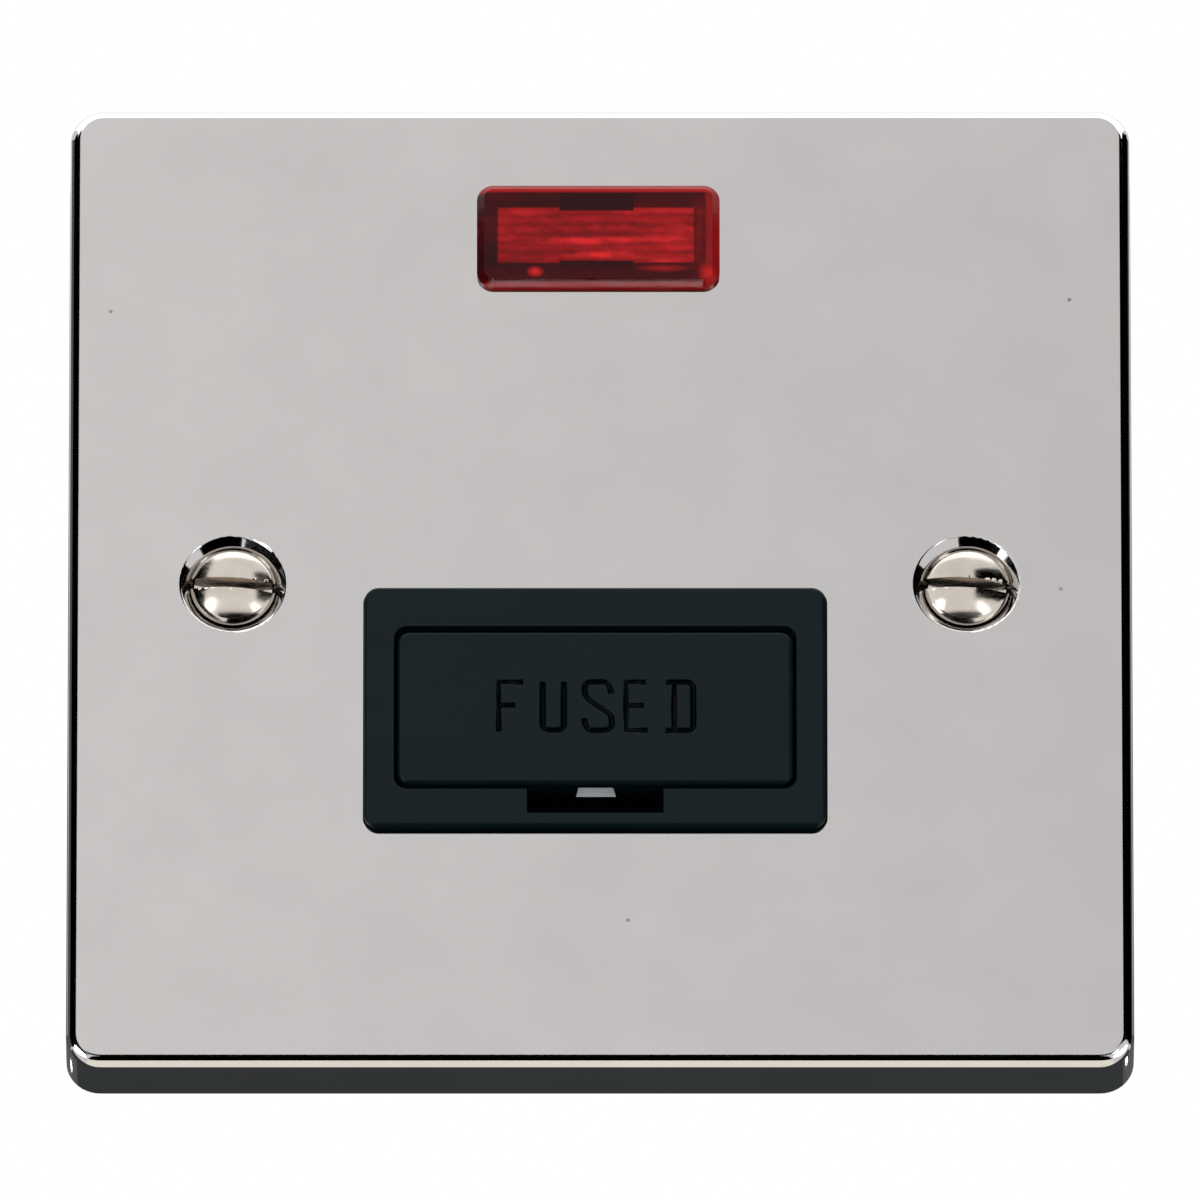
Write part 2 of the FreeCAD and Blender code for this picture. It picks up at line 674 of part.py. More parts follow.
def neutral_link():
    body = new_body("neutral_link")
    bar = new_sketch(body, FRONT, f"-{STRAP_FRONT}")
    rectangle(bar, "insert_across", f"{INNER_TOP} - terminal_height / 2",
              "2 * inner_terminal_across + terminal_width", "terminal_height - 2 * strap_inset")
    pad(body, bar, "strip_thick", flip=True)
    return body


def earth_strap():
    """A strip bent round from the plate's inside to the earth terminals."""
    body = new_body("earth_strap")
    low = f"({INNER_BOTTOM} + strap_inset)"
    profile = new_sketch(body, SIDE, "insert_across - earth_strap_width / 2")
    plate = f"-{PLATE_INSIDE}"
    outline(profile, [
        (plate, low),
        (STRAP_REAR, low),
        (STRAP_REAR, f"{low} + earth_rise"),
        (STRAP_FRONT, f"{low} + earth_rise"),
        (STRAP_FRONT, f"{low} + strip_thick"),
        (f"{plate} + strip_thick", f"{low} + strip_thick"),
        (f"{plate} + strip_thick", f"{low} + earth_foot"),
        (plate, f"{low} + earth_foot"),
    ])
    pad(body, profile, "earth_strap_width")
    wings = new_sketch(body, FRONT, f"-{STRAP_FRONT}")
    rectangle(wings, "insert_across", f"{low} + earth_rise / 2 + strip_thick",
              "2 * earth_terminal_across + terminal_width", "earth_rise - 2 * strip_thick")
    pad(body, wings, "strip_thick", flip=True)
    return body


# Terminals: brass blocks with a wire hole along Z and a clamp screw from the rear
def terminal(label, right, up):
    body = new_body(f"{label}_terminal")
    block = new_sketch(body, FRONT, f"-{STRAP_REAR}")
    rectangle(block, "0", "0", "terminal_width", "terminal_height")
    pad(body, block, f"{FLOOR_INSIDE} - {STRAP_REAR}", flip=True)
    soften(body, "terminal_edge_radius", lambda edge: edge.BoundBox.XLength < TOUCH and edge.BoundBox.YLength < TOUCH)
    wire = new_sketch(body, TOP, "terminal_height / 2")
    circle(wire, "0", "wire_back", "wire_radius")
    pocket(body, wire, "terminal_height")
    thread = new_sketch(body, FRONT, f"-{FLOOR_INSIDE}")
    circle(thread, "0", "0", "clamp_radius + clamp_fit")
    pocket(body, thread, f"{FLOOR_INSIDE} - wire_back", flip=True)
    place(body, right=across(right), up=up)
    return body


def clamp_screw(label, right, up):
    body = new_body(f"{label}_clamp_screw")
    rear = f"({FLOOR_INSIDE} - clamp_sink)"
    shank = new_sketch(body, FRONT, f"-{rear}")
    circle(shank, "0", "0", "clamp_radius")
    pad(body, shank, "clamp_length")
    slot = new_sketch(body, FRONT, f"-{rear}")
    rectangle(slot, "0", "0", "2 * clamp_radius + clamp_slot_width", "clamp_slot_width")
    pocket(body, slot, "clamp_slot_depth", flip=True)
    place(body, right=across(right), up=up)
    return body


# Rear housing: one moulding with the terminal chamber, barriers, bosses and lamp pod
def rear_housing():
    body = new_body("rear_housing")
    chamber = new_sketch(body, FRONT, "-housing_back")
    rectangle(chamber, "insert_across", HOUSING_CENTRE, HOUSING_WIDTH, HOUSING_HEIGHT)
    pad(body, chamber, f"housing_back + {FLANGE_REAR}")
    soften(body, "housing_corner_radius", runs_back)
    soften(body, "housing_edge_radius", lambda edge: lies_forward(edge, -value("housing_back")))
    pod = new_sketch(body, FRONT, "-pod_back")
    pod_centre = "(housing_top + pod_top - housing_corner_radius) / 2"
    rectangle(pod, "insert_across", pod_centre, "pod_width", "pod_top - housing_top + housing_corner_radius")
    pad(body, pod, f"pod_back + {FLANGE_REAR}")
    hollow = new_sketch(body, FRONT, FLANGE_REAR)
    rectangle(hollow, "insert_across", HOUSING_CENTRE, f"{HOUSING_WIDTH} - 2 * housing_wall",
              f"{HOUSING_HEIGHT} - 2 * housing_wall")
    pocket(body, hollow, f"{FLANGE_REAR} + {FLOOR_INSIDE}")
    pod_hollow = new_sketch(body, FRONT, FLANGE_REAR)
    rectangle(pod_hollow, "insert_across", "(housing_top - 2 * housing_wall + pod_top - pod_wall) / 2",
              "pod_width - 2 * pod_wall", "pod_top - pod_wall - housing_top + 2 * housing_wall")
    pocket(body, pod_hollow, f"{FLANGE_REAR} + pod_back - pod_wall")
    housing_barriers(body)
    housing_bosses(body)
    lamp_cradle(body)
    housing_holes(body)
    return body


def housing_barriers(body):
    """Ribs that stand on the floor between the terminals of the top row."""
    ribs = new_sketch(body, FRONT, f"-{FLOOR_INSIDE}")
    between = f"({OUTER_TERMINAL} + inner_terminal_across) / 2"
    for right in (f"-{between}", "0", between):
        rectangle(ribs, across(right), f"{INNER_TOP} - barrier_long / 2", "barrier_thick", "barrier_long")
    pad(body, ribs, f"{FLOOR_INSIDE} - {STRAP_REAR} - clip_gap")


def housing_bosses(body):
    bosses = new_sketch(body, FRONT, f"-{FLOOR_INSIDE}")
    holes = new_sketch(body, FRONT, "-housing_back")
    recesses = new_sketch(body, FRONT, "-housing_back")
    for side in "-+":
        for level in ("pillar_upper", "pillar_lower"):
            spot = (f"insert_across {side} {PILLAR_ACROSS}", level)
            circle(bosses, *spot, f"{BOSS_HOLE} + boss_wall")
            circle(holes, *spot, BOSS_HOLE)
            circle(recesses, *spot, "housing_screw_head_radius + housing_screw_gap")
    pad(body, bosses, f"{FLOOR_INSIDE} - pillar_back")
    pocket(body, holes, "housing_back", flip=True)
    pocket(body, recesses, "housing_screw_recess", flip=True)


def lamp_cradle(body):
    """Two grooved ribs that carry the indicator lamp."""
    floor = "(pod_back - pod_wall)"
    ribs = new_sketch(body, FRONT, f"-{floor}")
    for side in "-+":
        rectangle(ribs, f"lens_across {side} cradle_across", "lamp_up", "cradle_thick",
                  "2 * lamp_radius + barrier_thick")
    pad(body, ribs, f"{floor} - lamp_back")
    groove = new_sketch(body, SIDE, "lens_across - 2 * cradle_across")
    circle(groove, "lamp_back", "lamp_up", "lamp_radius + lead_fit")
    pocket(body, groove, "4 * cradle_across", flip=True)


def housing_holes(body):
    """A window for each terminal in the top and bottom walls, and access to each clamp screw."""
    access = new_sketch(body, FRONT, "-housing_back")
    upper = new_sketch(body, TOP, "housing_top")
    lower = new_sketch(body, TOP, "housing_bottom")
    middle = f"({STRAP_REAR} - terminal_window_gap + {FLOOR_INSIDE}) / 2"
    opening = ("terminal_width + 2 * terminal_window_gap",
               f"{FLOOR_INSIDE} - {STRAP_REAR} + terminal_window_gap")
    for right in TOP_TERMINALS.values():
        circle(access, across(right), TOP_TERMINAL_UP, "access_radius")
        rectangle(upper, across(right), middle, *opening)
    for right in EARTH_TERMINALS.values():
        circle(access, across(right), EARTH_TERMINAL_UP, "access_radius")
        rectangle(lower, across(right), middle, *opening)
    pocket(body, access, "housing_floor", flip=True)
    pocket(body, upper, "housing_wall")
    pocket(body, lower, "housing_wall", flip=True)


def housing_screw(label, right, up):
    body = new_body(label)
    under_head = "(housing_back - housing_screw_recess)"
    shank = new_sketch(body, FRONT, f"-{under_head}")
    circle(shank, "0", "0", "housing_screw_radius")
    pad(body, shank, "housing_screw_length")
    head = new_sketch(body, FRONT, f"-{under_head}")
    circle(head, "0", "0", "housing_screw_head_radius")
    pad(body, head, "housing_screw_head_height", flip=True)
    slot = new_sketch(body, FRONT, f"-({under_head} + housing_screw_head_height)")
    rectangle(slot, "0", "0", "2 * housing_screw_head_radius + clamp_slot_width", "clamp_slot_width")
    pocket(body, slot, "housing_screw_slot_depth", flip=True)
    place(body, right=across(right), up=up)
    return body


# Indicator lens: a bevelled rim on the plate, ribs behind it and two snap tabs
def neon_lens():
    body = new_body("neon_lens")
    rim = new_sketch(body, FRONT, "plate_depth")
    rectangle(rim, "lens_across", "lens_up", "lens_width", "lens_height")
    pad(body, rim, "lens_proud")
    soften(body, "lens_corner_radius", runs_back)
    soften(body, "lens_bevel", lambda edge: lies_forward(edge, value("plate_depth + lens_proud")), "Chamfer")
    shell = new_sketch(body, FRONT, "plate_depth")
    rectangle(shell, "lens_across", "lens_up", LENS_BODY_WIDTH, LENS_BODY_HEIGHT)
    pad(body, shell, "lens_body_deep", flip=True)
    hollow = new_sketch(body, FRONT, "plate_depth - lens_body_deep")
    rectangle(hollow, "lens_across", "lens_up", f"{LENS_BODY_WIDTH} - 2 * lens_wall",
              f"{LENS_BODY_HEIGHT} - 2 * lens_wall")
    pocket(body, hollow, "lens_body_deep", flip=True)
    lens_ribs(body)
    lens_tabs(body)
    return body


def lens_ribs(body):
    """Prisms across the inside of the lens, which spread the lamp's light."""
    start = f"lens_across - {LENS_BODY_WIDTH} / 2 + lens_wall"
    low = f"(lens_up - {LENS_BODY_HEIGHT} / 2 + lens_wall)"
    step = f"(({LENS_BODY_HEIGHT} - 2 * lens_wall) / lens_rib_count)"
    count = int(SIZES["lens_rib_count"])
    teeth = [("-plate_depth - lens_rib_height / 2", low)]
    for rib in range(count):
        teeth.append(("-plate_depth", f"{low} + {rib} * {step}"))
        teeth.append(("-plate_depth + lens_rib_height", f"{low} + {rib + 0.5} * {step}"))
    teeth.append(("-plate_depth", f"{low} + {count} * {step}"))
    teeth.append(("-plate_depth - lens_rib_height / 2", f"{low} + {count} * {step}"))
    prisms = new_sketch(body, SIDE, start)
    outline(prisms, teeth)
    pad(body, prisms, f"{LENS_BODY_WIDTH} - 2 * lens_wall")


def lens_tabs(body):
    """Snap tabs in the long walls, freed by slits, with hooks behind the plate."""
    hooks = new_sketch(body, FRONT, f"{PLATE_INSIDE} - opening_gap")
    slits = new_sketch(body, FRONT, "plate_depth - lens_body_deep")
    for side in "-+":
        wall = f"lens_up {side} ({LENS_BODY_HEIGHT} / 2 - lens_wall / 2 + tab_hook / 2)"
        rectangle(hooks, "lens_across", wall, "tab_width", "lens_wall + tab_hook")
        for edge in "-+":
            rectangle(slits, f"lens_across {edge} (tab_width + tab_slit) / 2",
                      f"lens_up {side} {LENS_BODY_HEIGHT} / 2", "tab_slit", "2 * lens_wall + tab_slit")
    pad(body, hooks, "tab_hook_long", flip=True)
    pocket(body, slits, "lens_body_deep - plate_sheet", flip=True)


# Indicator lamp: a glass envelope pinched round two leads
def neon_lamp():
    body = new_body("neon_lamp")
    envelope = new_sketch(body, SIDE, "lens_across - lamp_length / 2")
    circle(envelope, "lamp_back", "lamp_up", "lamp_radius")
    pad(body, envelope, "lamp_length")
    soften(body, "lamp_tip_radius", lambda edge: edge.BoundBox.XMin > value("lens_across")
           and edge.BoundBox.XLength < TOUCH)
    soften(body, "lamp_base_radius", lambda edge: edge.BoundBox.XMax < value("lens_across")
           and edge.BoundBox.XLength < TOUCH)
    gas = new_sketch(body, TOP, "lamp_up", shift="lens_across")
    inner = "(lamp_radius - lamp_glass)"
    left = "-lamp_length / 2 + lamp_pinch"
    right = "lamp_length / 2 - lamp_glass"
    outline(gas, [
        (left, "lamp_back"),
        (right, "lamp_back", inner),
        (f"{right} - {inner}", f"lamp_back + {inner}"),
        (left, f"lamp_back + {inner}"),
    ])
    axis_line(gas, "lamp_back")
    turn(body, gas, "Groove", "Axis0")
    holes = new_sketch(body, SIDE, "lens_across - lamp_length / 2")
    for side in "-+":
        circle(holes, "lamp_back", f"lamp_up {side} lead_spacing / 2", "lead_radius + lead_fit")
    pocket(body, holes, "lamp_pinch + lamp_glass", flip=True)
    return body


def axis_line(sketch, up):
    """A construction line along the sketch's right direction, to turn a profile about."""
    reach = value("lamp_length")
    line = sketch.addGeometry(Part.LineSegment(V(-reach, value(up), 0), V(reach, value(up), 0)), True)
    pin_point(sketch, line, 1, "-lamp_length", up)
    pin_point(sketch, line, 2, "lamp_length", up)


def bent_wire(label, points):
    """A round wire along straight runs, with an arc of the lead's bend radius at each turn."""
    spots = [V(*(value(text) for text in point)) for point in points]
    bend = value("lead_bend")
    edges = []
    start = spots[0]
    for before, corner, after in zip(spots, spots[1:], spots[2:]):
        towards = (corner - before).normalize()
        away = (after - corner).normalize()
        leave = corner - towards * bend
        arrive = corner + away * bend
        centre = leave + away * bend
        middle = centre - (away - towards).normalize() * bend
        edges += [Part.makeLine(start, leave), Part.Arc(leave, middle, arrive).toShape()]
        start = arrive
    edges.append(Part.makeLine(start, spots[-1]))
    path = Part.Wire(edges)
    section = Part.Wire(Part.makeCircle(value("lead_radius"), spots[0], spots[1] - spots[0]))
    wire = doc.addObject("Part::Feature", label)
    wire.Label = label
    wire.Shape = path.makePipeShell([section], True, False)
    wire.Placement = FreeCAD.Placement()
    return wire


def lamp_wiring():
    upper = "lamp_up + lead_spacing / 2"
    lower = "lamp_up - lead_spacing / 2"
    start = "lens_across - lamp_length / 2 + lead_inside"
    outer = "insert_across - outer_lead_across"
    inner = "insert_across - inner_lead_across"
    link = f"{INNER_TOP} - terminal_height / 2"
    strap = f"{INNER_TOP} - strap_inset - lead_bend"
    resistor_low = "resistor_top - resistor_length"
    return [
        bent_wire("neutral_lamp_lead", [
            (start, "lamp_back", upper),
            (outer, "lamp_back", upper),
            (outer, "lamp_back", link),
            (outer, STRAP_FRONT, link),
        ]),
        bent_wire("live_lamp_lead", [
            (start, "lamp_back", lower),
            (inner, "lamp_back", lower),
            (inner, "lamp_back", "resistor_top"),
        ]),
        bent_wire("resistor_lead", [
            (inner, "lamp_back", resistor_low),
            (inner, "lamp_back", strap),
            (across(OUTER_TERMINAL), "lamp_back", strap),
            (across(OUTER_TERMINAL), STRAP_FRONT, strap),
        ]),
    ]


def lamp_resistor():
    body = new_body("lamp_resistor")
    section = new_sketch(body, TOP, "resistor_top - resistor_length")
    circle(section, "insert_across - inner_lead_across", "lamp_back", "resistor_radius")
    pad(body, section, "resistor_length")
    soften(body, "resistor_end_radius", lambda edge: edge.BoundBox.ZLength < TOUCH)
    return body


def build():
    parts = [
        front_plate(),
        fixing_screw("fixing_screw_left", -1, "left_slot_tilt"),
        fixing_screw("fixing_screw_right", 1, "right_slot_tilt"),
        front_insert(),
        fuse_carrier(),
        fuse_barrel(),
        fuse_cap("fuse_cap_left", -1),
        fuse_cap("fuse_cap_right", 1),
        fuse_clip("line_in_fuse_clip", -1),
        fuse_clip("line_out_fuse_clip", 1),
        neutral_link(),
        earth_strap(),
        rear_housing(),
        neon_lens(),
        neon_lamp(),
        lamp_resistor(),
    ]
    parts += lamp_wiring()
    rows = (
        (TOP_TERMINALS, TOP_TERMINAL_UP),
        (EARTH_TERMINALS, EARTH_TERMINAL_UP),
    )
    for terminals, up in rows:
        for label, right in terminals.items():
            parts.append(terminal(label, right, up))
            parts.append(clamp_screw(label, right, up))
    for side, sign in (("left", "-"), ("right", "")):
        for level in ("upper", "lower"):
            label = f"housing_screw_{side}_{level}"
            parts.append(housing_screw(label, f"{sign}{PILLAR_ACROSS}", f"pillar_{level}"))
    return parts


def check(parts):
    failed = [o.Label for o in doc.Objects if "Invalid" in o.State or "Error" in o.State]
    if failed:
        raise RuntimeError(f"these objects failed: {failed}")
    for part in parts:
        if part.Shape.isNull() or not part.Shape.isValid() or len(part.Shape.Solids) != 1:
            raise RuntimeError(f"{part.Label} isn't one valid solid")


def write(parts):
    os.makedirs("parts", exist_ok=True)
    for part in parts:
        part.Shape.exportStep(f"parts/{part.Label}.step")


pieces = build()
doc.recompute()
check(pieces)
write(pieces)
print(f"wrote {len(pieces)} parts")
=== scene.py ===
import math

import bmesh
import bpy
from bpy.props import FloatProperty, FloatVectorProperty, IntProperty, PointerProperty
from bpy.types import Operator, Panel, PropertyGroup
from mathutils import Matrix, Vector


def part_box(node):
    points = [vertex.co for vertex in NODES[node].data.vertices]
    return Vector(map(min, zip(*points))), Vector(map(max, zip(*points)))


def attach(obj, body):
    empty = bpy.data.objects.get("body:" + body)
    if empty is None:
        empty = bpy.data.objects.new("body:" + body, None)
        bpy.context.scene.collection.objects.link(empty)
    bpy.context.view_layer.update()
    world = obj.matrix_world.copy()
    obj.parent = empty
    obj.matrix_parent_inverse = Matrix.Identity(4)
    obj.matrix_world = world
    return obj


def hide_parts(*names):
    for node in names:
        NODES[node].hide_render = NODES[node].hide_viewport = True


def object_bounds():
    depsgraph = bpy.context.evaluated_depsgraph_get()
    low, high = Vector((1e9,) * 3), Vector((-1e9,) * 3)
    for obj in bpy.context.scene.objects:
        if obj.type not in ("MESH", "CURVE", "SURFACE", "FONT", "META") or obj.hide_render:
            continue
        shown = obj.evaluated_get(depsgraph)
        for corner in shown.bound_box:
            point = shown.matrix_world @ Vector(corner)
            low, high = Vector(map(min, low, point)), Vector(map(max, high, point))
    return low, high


bl_info = {
    "name": "Fused Spur Unit",
    "version": (1, 0, 0),
    "blender": (4, 5, 0),
    "location": "View3D > Sidebar > Spur Unit",
    "description": "Dresses a fused connection unit with its finishes, lettering, screws and studio",
    "category": "Object",
}

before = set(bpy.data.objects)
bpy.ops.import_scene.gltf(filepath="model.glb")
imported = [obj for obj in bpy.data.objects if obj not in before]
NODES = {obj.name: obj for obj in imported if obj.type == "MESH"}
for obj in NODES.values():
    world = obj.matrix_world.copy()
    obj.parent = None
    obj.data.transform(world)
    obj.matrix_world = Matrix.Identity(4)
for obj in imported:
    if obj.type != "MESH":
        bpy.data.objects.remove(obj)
CAD_BOX = [list(corner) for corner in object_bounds()]
MM = 0.001

DRAWER_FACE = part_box("fuse_carrier")[0].y
UNDERSIDE = CAD_BOX[0][2]

# Points nearer to each other than this are one point
WELD = 1e-7
# A moulding carries painted shade in its recesses: darker and duller from this far behind its face and over
# this depth
RECESS_START = 0.0014
RECESS_FADE = 0.0008

# The word on the drawer: strokes across and up the face, in millimetres from the origin.
# A stroke of more than three points is a curve that rounds its corners.
WORD_STROKES = (
    ((-8.31, -13.95), (-8.31, -9.41), (-6.3, -9.41)),
    ((-8.31, -11.51), (-6.95, -11.51)),
    ((-4.71, -9.39), (-4.71, -12.9), (-4.71, -13.83), (-2.97, -13.83), (-2.97, -12.9), (-2.97, -9.39)),
    ((0.9, -10.5), (0.8, -9.42), (-0.25, -9.42), (-1.25, -9.45), (-1.3, -10.7), (-0.45, -11.4),
     (0.3, -11.95), (1.0, -12.5), (0.95, -13.8), (-0.15, -13.85), (-1.2, -13.85), (-1.3, -12.7)),
    ((3.75, -9.41), (2.14, -9.41), (2.14, -11.55)),
    ((2.14, -11.55), (2.14, -13.8), (3.9, -13.8)),
    ((2.14, -11.55), (3.6, -11.55)),
    ((6.08, -9.45), (6.08, -13.85)),
    ((5.4, -9.45), (6.5, -9.45), (7.65, -9.45), (7.65, -10.7), (7.65, -12.8), (7.65, -13.85),
     (6.5, -13.85), (5.35, -13.85)),
)

# Half of a stroke's section, from its rim on the face to its bottom, as parts of its width and depth
STROKE_SECTION = ((1.0, -0.15), (1.0, 0.0), (0.84, 0.055), (0.7, 0.165), (0.0, 1.0))
# The word's place: left, right, bottom and top, and the depths between which its grooves carry painted
# shade, darker and duller
LETTER_FIELD = (-0.0093, 0.0085, -0.0146, -0.0088)
LETTER_DEPTHS = (0.00003, 0.0006)
# How softly the painted shade in the grooves sets in, and how much gloss the grooves keep
LETTER_EDGE = 0.00001
LETTER_GLOSS = 0.3

# A sheet of the fuse's ceramic on the rear wall of the prise slot, darkened with painted shade, stands for
# the fuse seen through it: corners across and up, in millimetres
SLOT_WALL = -0.0041
# The ceramic's colour, darkened and cooled as painted shade
CERAMIC_WITH_PAINTED_SHADE = (0.5, 0.56, 0.58)
FUSE_SIGHT = ((-1.97, -18.69), (1.48, -18.69), (1.16, -17.86), (-1.8, -17.86))
SIGHT_RISE = 0.00005
SIGHT_THICKNESS = 0.00006
SIGHT_BEVEL = 0.00003

# The fixing screws: radius of the shank, height of the dome and how far the thread runs into the head
SHANK_RADIUS = 0.00175
DOME_HEIGHT = 0.001
THREAD_OVERLAP = 0.0003
CORE_GROWTH = 0.00002
# One ridge of the thread: whether it is at the crest, and its place along the pitch
THREAD_RIDGE = ((False, 0.0), (True, 0.4), (True, 0.55), (False, 0.95))

# The lens, across and up from its middle: the field painted as lit, its core between the snap tabs, and the
# tabs
LENS_FIELD = ((-0.0083, 0.0079), (-0.0027, 0.0024))
LENS_CORE = (-0.0025, 0.0021)
LENS_TABS = (-0.0032, 0.0029)
# Painted highlights in the field and in the wall round it, which is painted dark as shade: place, half
# sizes and strength
PAINTED_FIELD_HIGHLIGHTS = (
    ((-0.0008, 0, -0.0007), 0.0062, 0.00045, 0.75),
    ((0.0002, 0, -0.0019), 0.0038, 0.0004, 0.6),
    ((-0.0062, 0, 0.0018), 0.0028, 0.0004, 0.25),
    ((0.0062, 0, -0.0002), 0.0022, 0.0016, 0.3),
    ((0.0055, 0, -0.0025), 0.0022, 0.0003, 0.4),
)
PAINTED_WALL_HIGHLIGHTS = (
    ((-0.0052, 0, -0.0035), 0.0008, 0.0006, 0.95),
    ((0.0055, 0, -0.0032), 0.0026, 0.0004, 0.45),
    ((0.0083, 0, 0.0), 0.0012, 0.005, 0.2),
    ((0.0092, 0, -0.0036), 0.0011, 0.0014, 0.7),
)

# The floor and the lowest cards lie this far under the unit
FLOOR_GAP = 0.0005
CARD_GAP = 0.0004
CARD_CORNERS = 32
SENSOR_WIDTH = 36.0


def colour_setting(name, description, default):
    return FloatVectorProperty(name=name, description=description, subtype="COLOR", size=3,
                               min=0.0, max=1.0, default=default)


def length_setting(name, description, default, top=10.0):
    return FloatProperty(name=name, description=description, subtype="DISTANCE", unit="LENGTH",
                         min=0.0, max=top, default=default)


class SpurFinishes(PropertyGroup):
    """Colours of the finishes"""
    chrome: colour_setting("Chrome", "Polished chrome of the front plate", (0.548, 0.532, 0.523))
    nickel: colour_setting("Nickel", "Bright nickel of the fixing screws", (0.62, 0.56, 0.5))
    black: colour_setting("Black moulding", "Satin moulding of the insert and the drawer",
                          (0.0015, 0.0068, 0.0082))
    housing: colour_setting("Housing", "Matt moulding of the rear housing", (0.022, 0.024, 0.026))
    red: colour_setting("Lens", "Clear red of the indicator lens", (0.6, 0.019, 0.022))
    brass: colour_setting("Brass", "Machined brass of the terminals", (0.74, 0.54, 0.27))
    bronze: colour_setting("Bronze", "Rolled bronze of the clips and straps", (0.7, 0.44, 0.27))
    zinc: colour_setting("Zinc", "Zinc plate of the small screws", (0.62, 0.62, 0.6))
    ceramic: colour_setting("Ceramic", "Unglazed barrel of the fuse", (0.8, 0.78, 0.73))


class SpurWord(PropertyGroup):
    """Sizes of the word cut in the drawer"""
    stroke: length_setting("Stroke", "Width of a stroke at the drawer's face", 0.0006)
    depth: length_setting("Depth", "Depth of the strokes' grooves", 0.00042)


class SpurScrews(PropertyGroup):
    """Sizes of the fixing screws' threads"""
    pitch: length_setting("Pitch", "Distance from one thread to the next", 0.0006)
    depth: length_setting("Depth", "Depth of the thread's root under its crest", 0.00034)
    plain: length_setting("Plain shank", "Length of shank without thread under the head", 0.0018)
    facets: IntProperty(name="Facets", description="Flat steps in one turn of the thread",
                        min=8, max=64, default=24)


class SpurStage(PropertyGroup):
    """Camera, floor and light of the studio"""
    rise: FloatProperty(name="Rise", description="Angle at which the camera looks up at the unit",
                        subtype="ANGLE", default=math.radians(26.1))
    distance: length_setting("Distance", "Distance from the camera to the unit", 4.2, 100.0)
    frame_width: length_setting("Frame width", "Width that the camera sees at the unit", 0.0987)
    aim: FloatVectorProperty(name="Aim", description="Point at the middle of the picture", subtype="XYZ",
                             unit="LENGTH", size=3, precision=5, default=(-0.00001, 0.0, 0.0013))
    floor: colour_setting("Floor", "Colour of the pale floor", (0.88, 0.88, 0.88))
    fill: FloatProperty(name="Fill", description="Strength of the even light from all round", default=0.55)


# Helpers for finishes
def start_finish(name, colour, values):
    """A material with one shader, its colour and the values of its other sockets."""
    material = bpy.data.materials.new(name)
    material.use_nodes = True
    tree = material.node_tree
    tree.nodes.clear()
    output = tree.nodes.new("ShaderNodeOutputMaterial")
    shader = tree.nodes.new("ShaderNodeBsdfPrincipled")
    tree.links.new(shader.outputs["BSDF"], output.inputs["Surface"])
    shader.inputs["Base Color"].default_value = (*colour, 1.0)
    for socket, value in values.items():
        shader.inputs[socket].default_value = value
    return material, tree, shader


def surface_place(tree, centre=(0, 0, 0), stretch=(1, 1, 1), turn=(0, 0, 0)):
    """Object coordinates, counted from a centre, turned and stretched."""
    coordinates = tree.nodes.new("ShaderNodeTexCoord")
    mapping = tree.nodes.new("ShaderNodeMapping")
    mapping.vector_type = "TEXTURE"
    mapping.inputs["Location"].default_value = centre
    mapping.inputs["Rotation"].default_value = turn
    mapping.inputs["Scale"].default_value = stretch
    tree.links.new(coordinates.outputs["Object"], mapping.inputs["Vector"])
    return mapping.outputs["Vector"]


def grain(tree, place, scale, detail=3.0):
    """Fine noise, from 0 to 1."""
    node = tree.nodes.new("ShaderNodeTexNoise")
    node.inputs["Scale"].default_value = scale
    node.inputs["Detail"].default_value = detail
    tree.links.new(place, node.inputs["Vector"])
    return node.outputs["Fac"]


def spread(tree, factor, low, high, start=0.3, end=0.7):
    """The factor's range from start to end, laid over the range from low to high."""
    node = tree.nodes.new("ShaderNodeMapRange")
    for socket, value in (("From Min", start), ("From Max", end), ("To Min", low), ("To Max", high)):
        node.inputs[socket].default_value = value
    tree.links.new(factor, node.inputs["Value"])
    return node.outputs["Result"]


def tinted(colour, share):
    """The colour made darker or brighter."""
    return tuple(min(channel * share, 1.0) for channel in colour)


def ramp(tree, factor, stops, steps=False):
    """Colours along a factor: each stop is (place, colour)."""
    node = tree.nodes.new("ShaderNodeValToRGB")
    node.color_ramp.interpolation = "CONSTANT" if steps else "LINEAR"
    elements = node.color_ramp.elements
    while len(elements) < len(stops):
        elements.new(0.5)
    for element, (spot, colour) in zip(elements, stops):
        element.position = spot
        element.color = (*colour, 1.0)
    tree.links.new(factor, node.inputs["Fac"])
    return node.outputs["Color"]


def blend_colours(tree, mask, under, over):
    """The colour over the colour under, where the mask is white."""
    node = tree.nodes.new("ShaderNodeMix")
    node.data_type = "RGBA"
    tree.links.new(mask, node.inputs["Factor"])
    tree.links.new(under, node.inputs["A"])
    node.inputs["B"].default_value = (*over, 1.0)
    return node.outputs["Result"]


def calculate(tree, operation, first, *others):
    """Values joined one after the other by a sum, a product or the like."""
    result = first
    for other in others:
        node = tree.nodes.new("ShaderNodeMath")
        node.operation = operation
        for socket, value in zip(node.inputs, (result, other)):
            if isinstance(value, (int, float)):
                socket.default_value = value
            else:
                tree.links.new(value, socket)
        result = node.outputs["Value"]
    return result


def relief(tree, shader, height, depth, strength=1.0):
    """Fine relief of that depth in metres."""
    node = tree.nodes.new("ShaderNodeBump")
    node.inputs["Strength"].default_value = strength
    node.inputs["Distance"].default_value = depth
    tree.links.new(height, node.inputs["Height"])
    tree.links.new(node.outputs["Normal"], shader.inputs["Normal"])


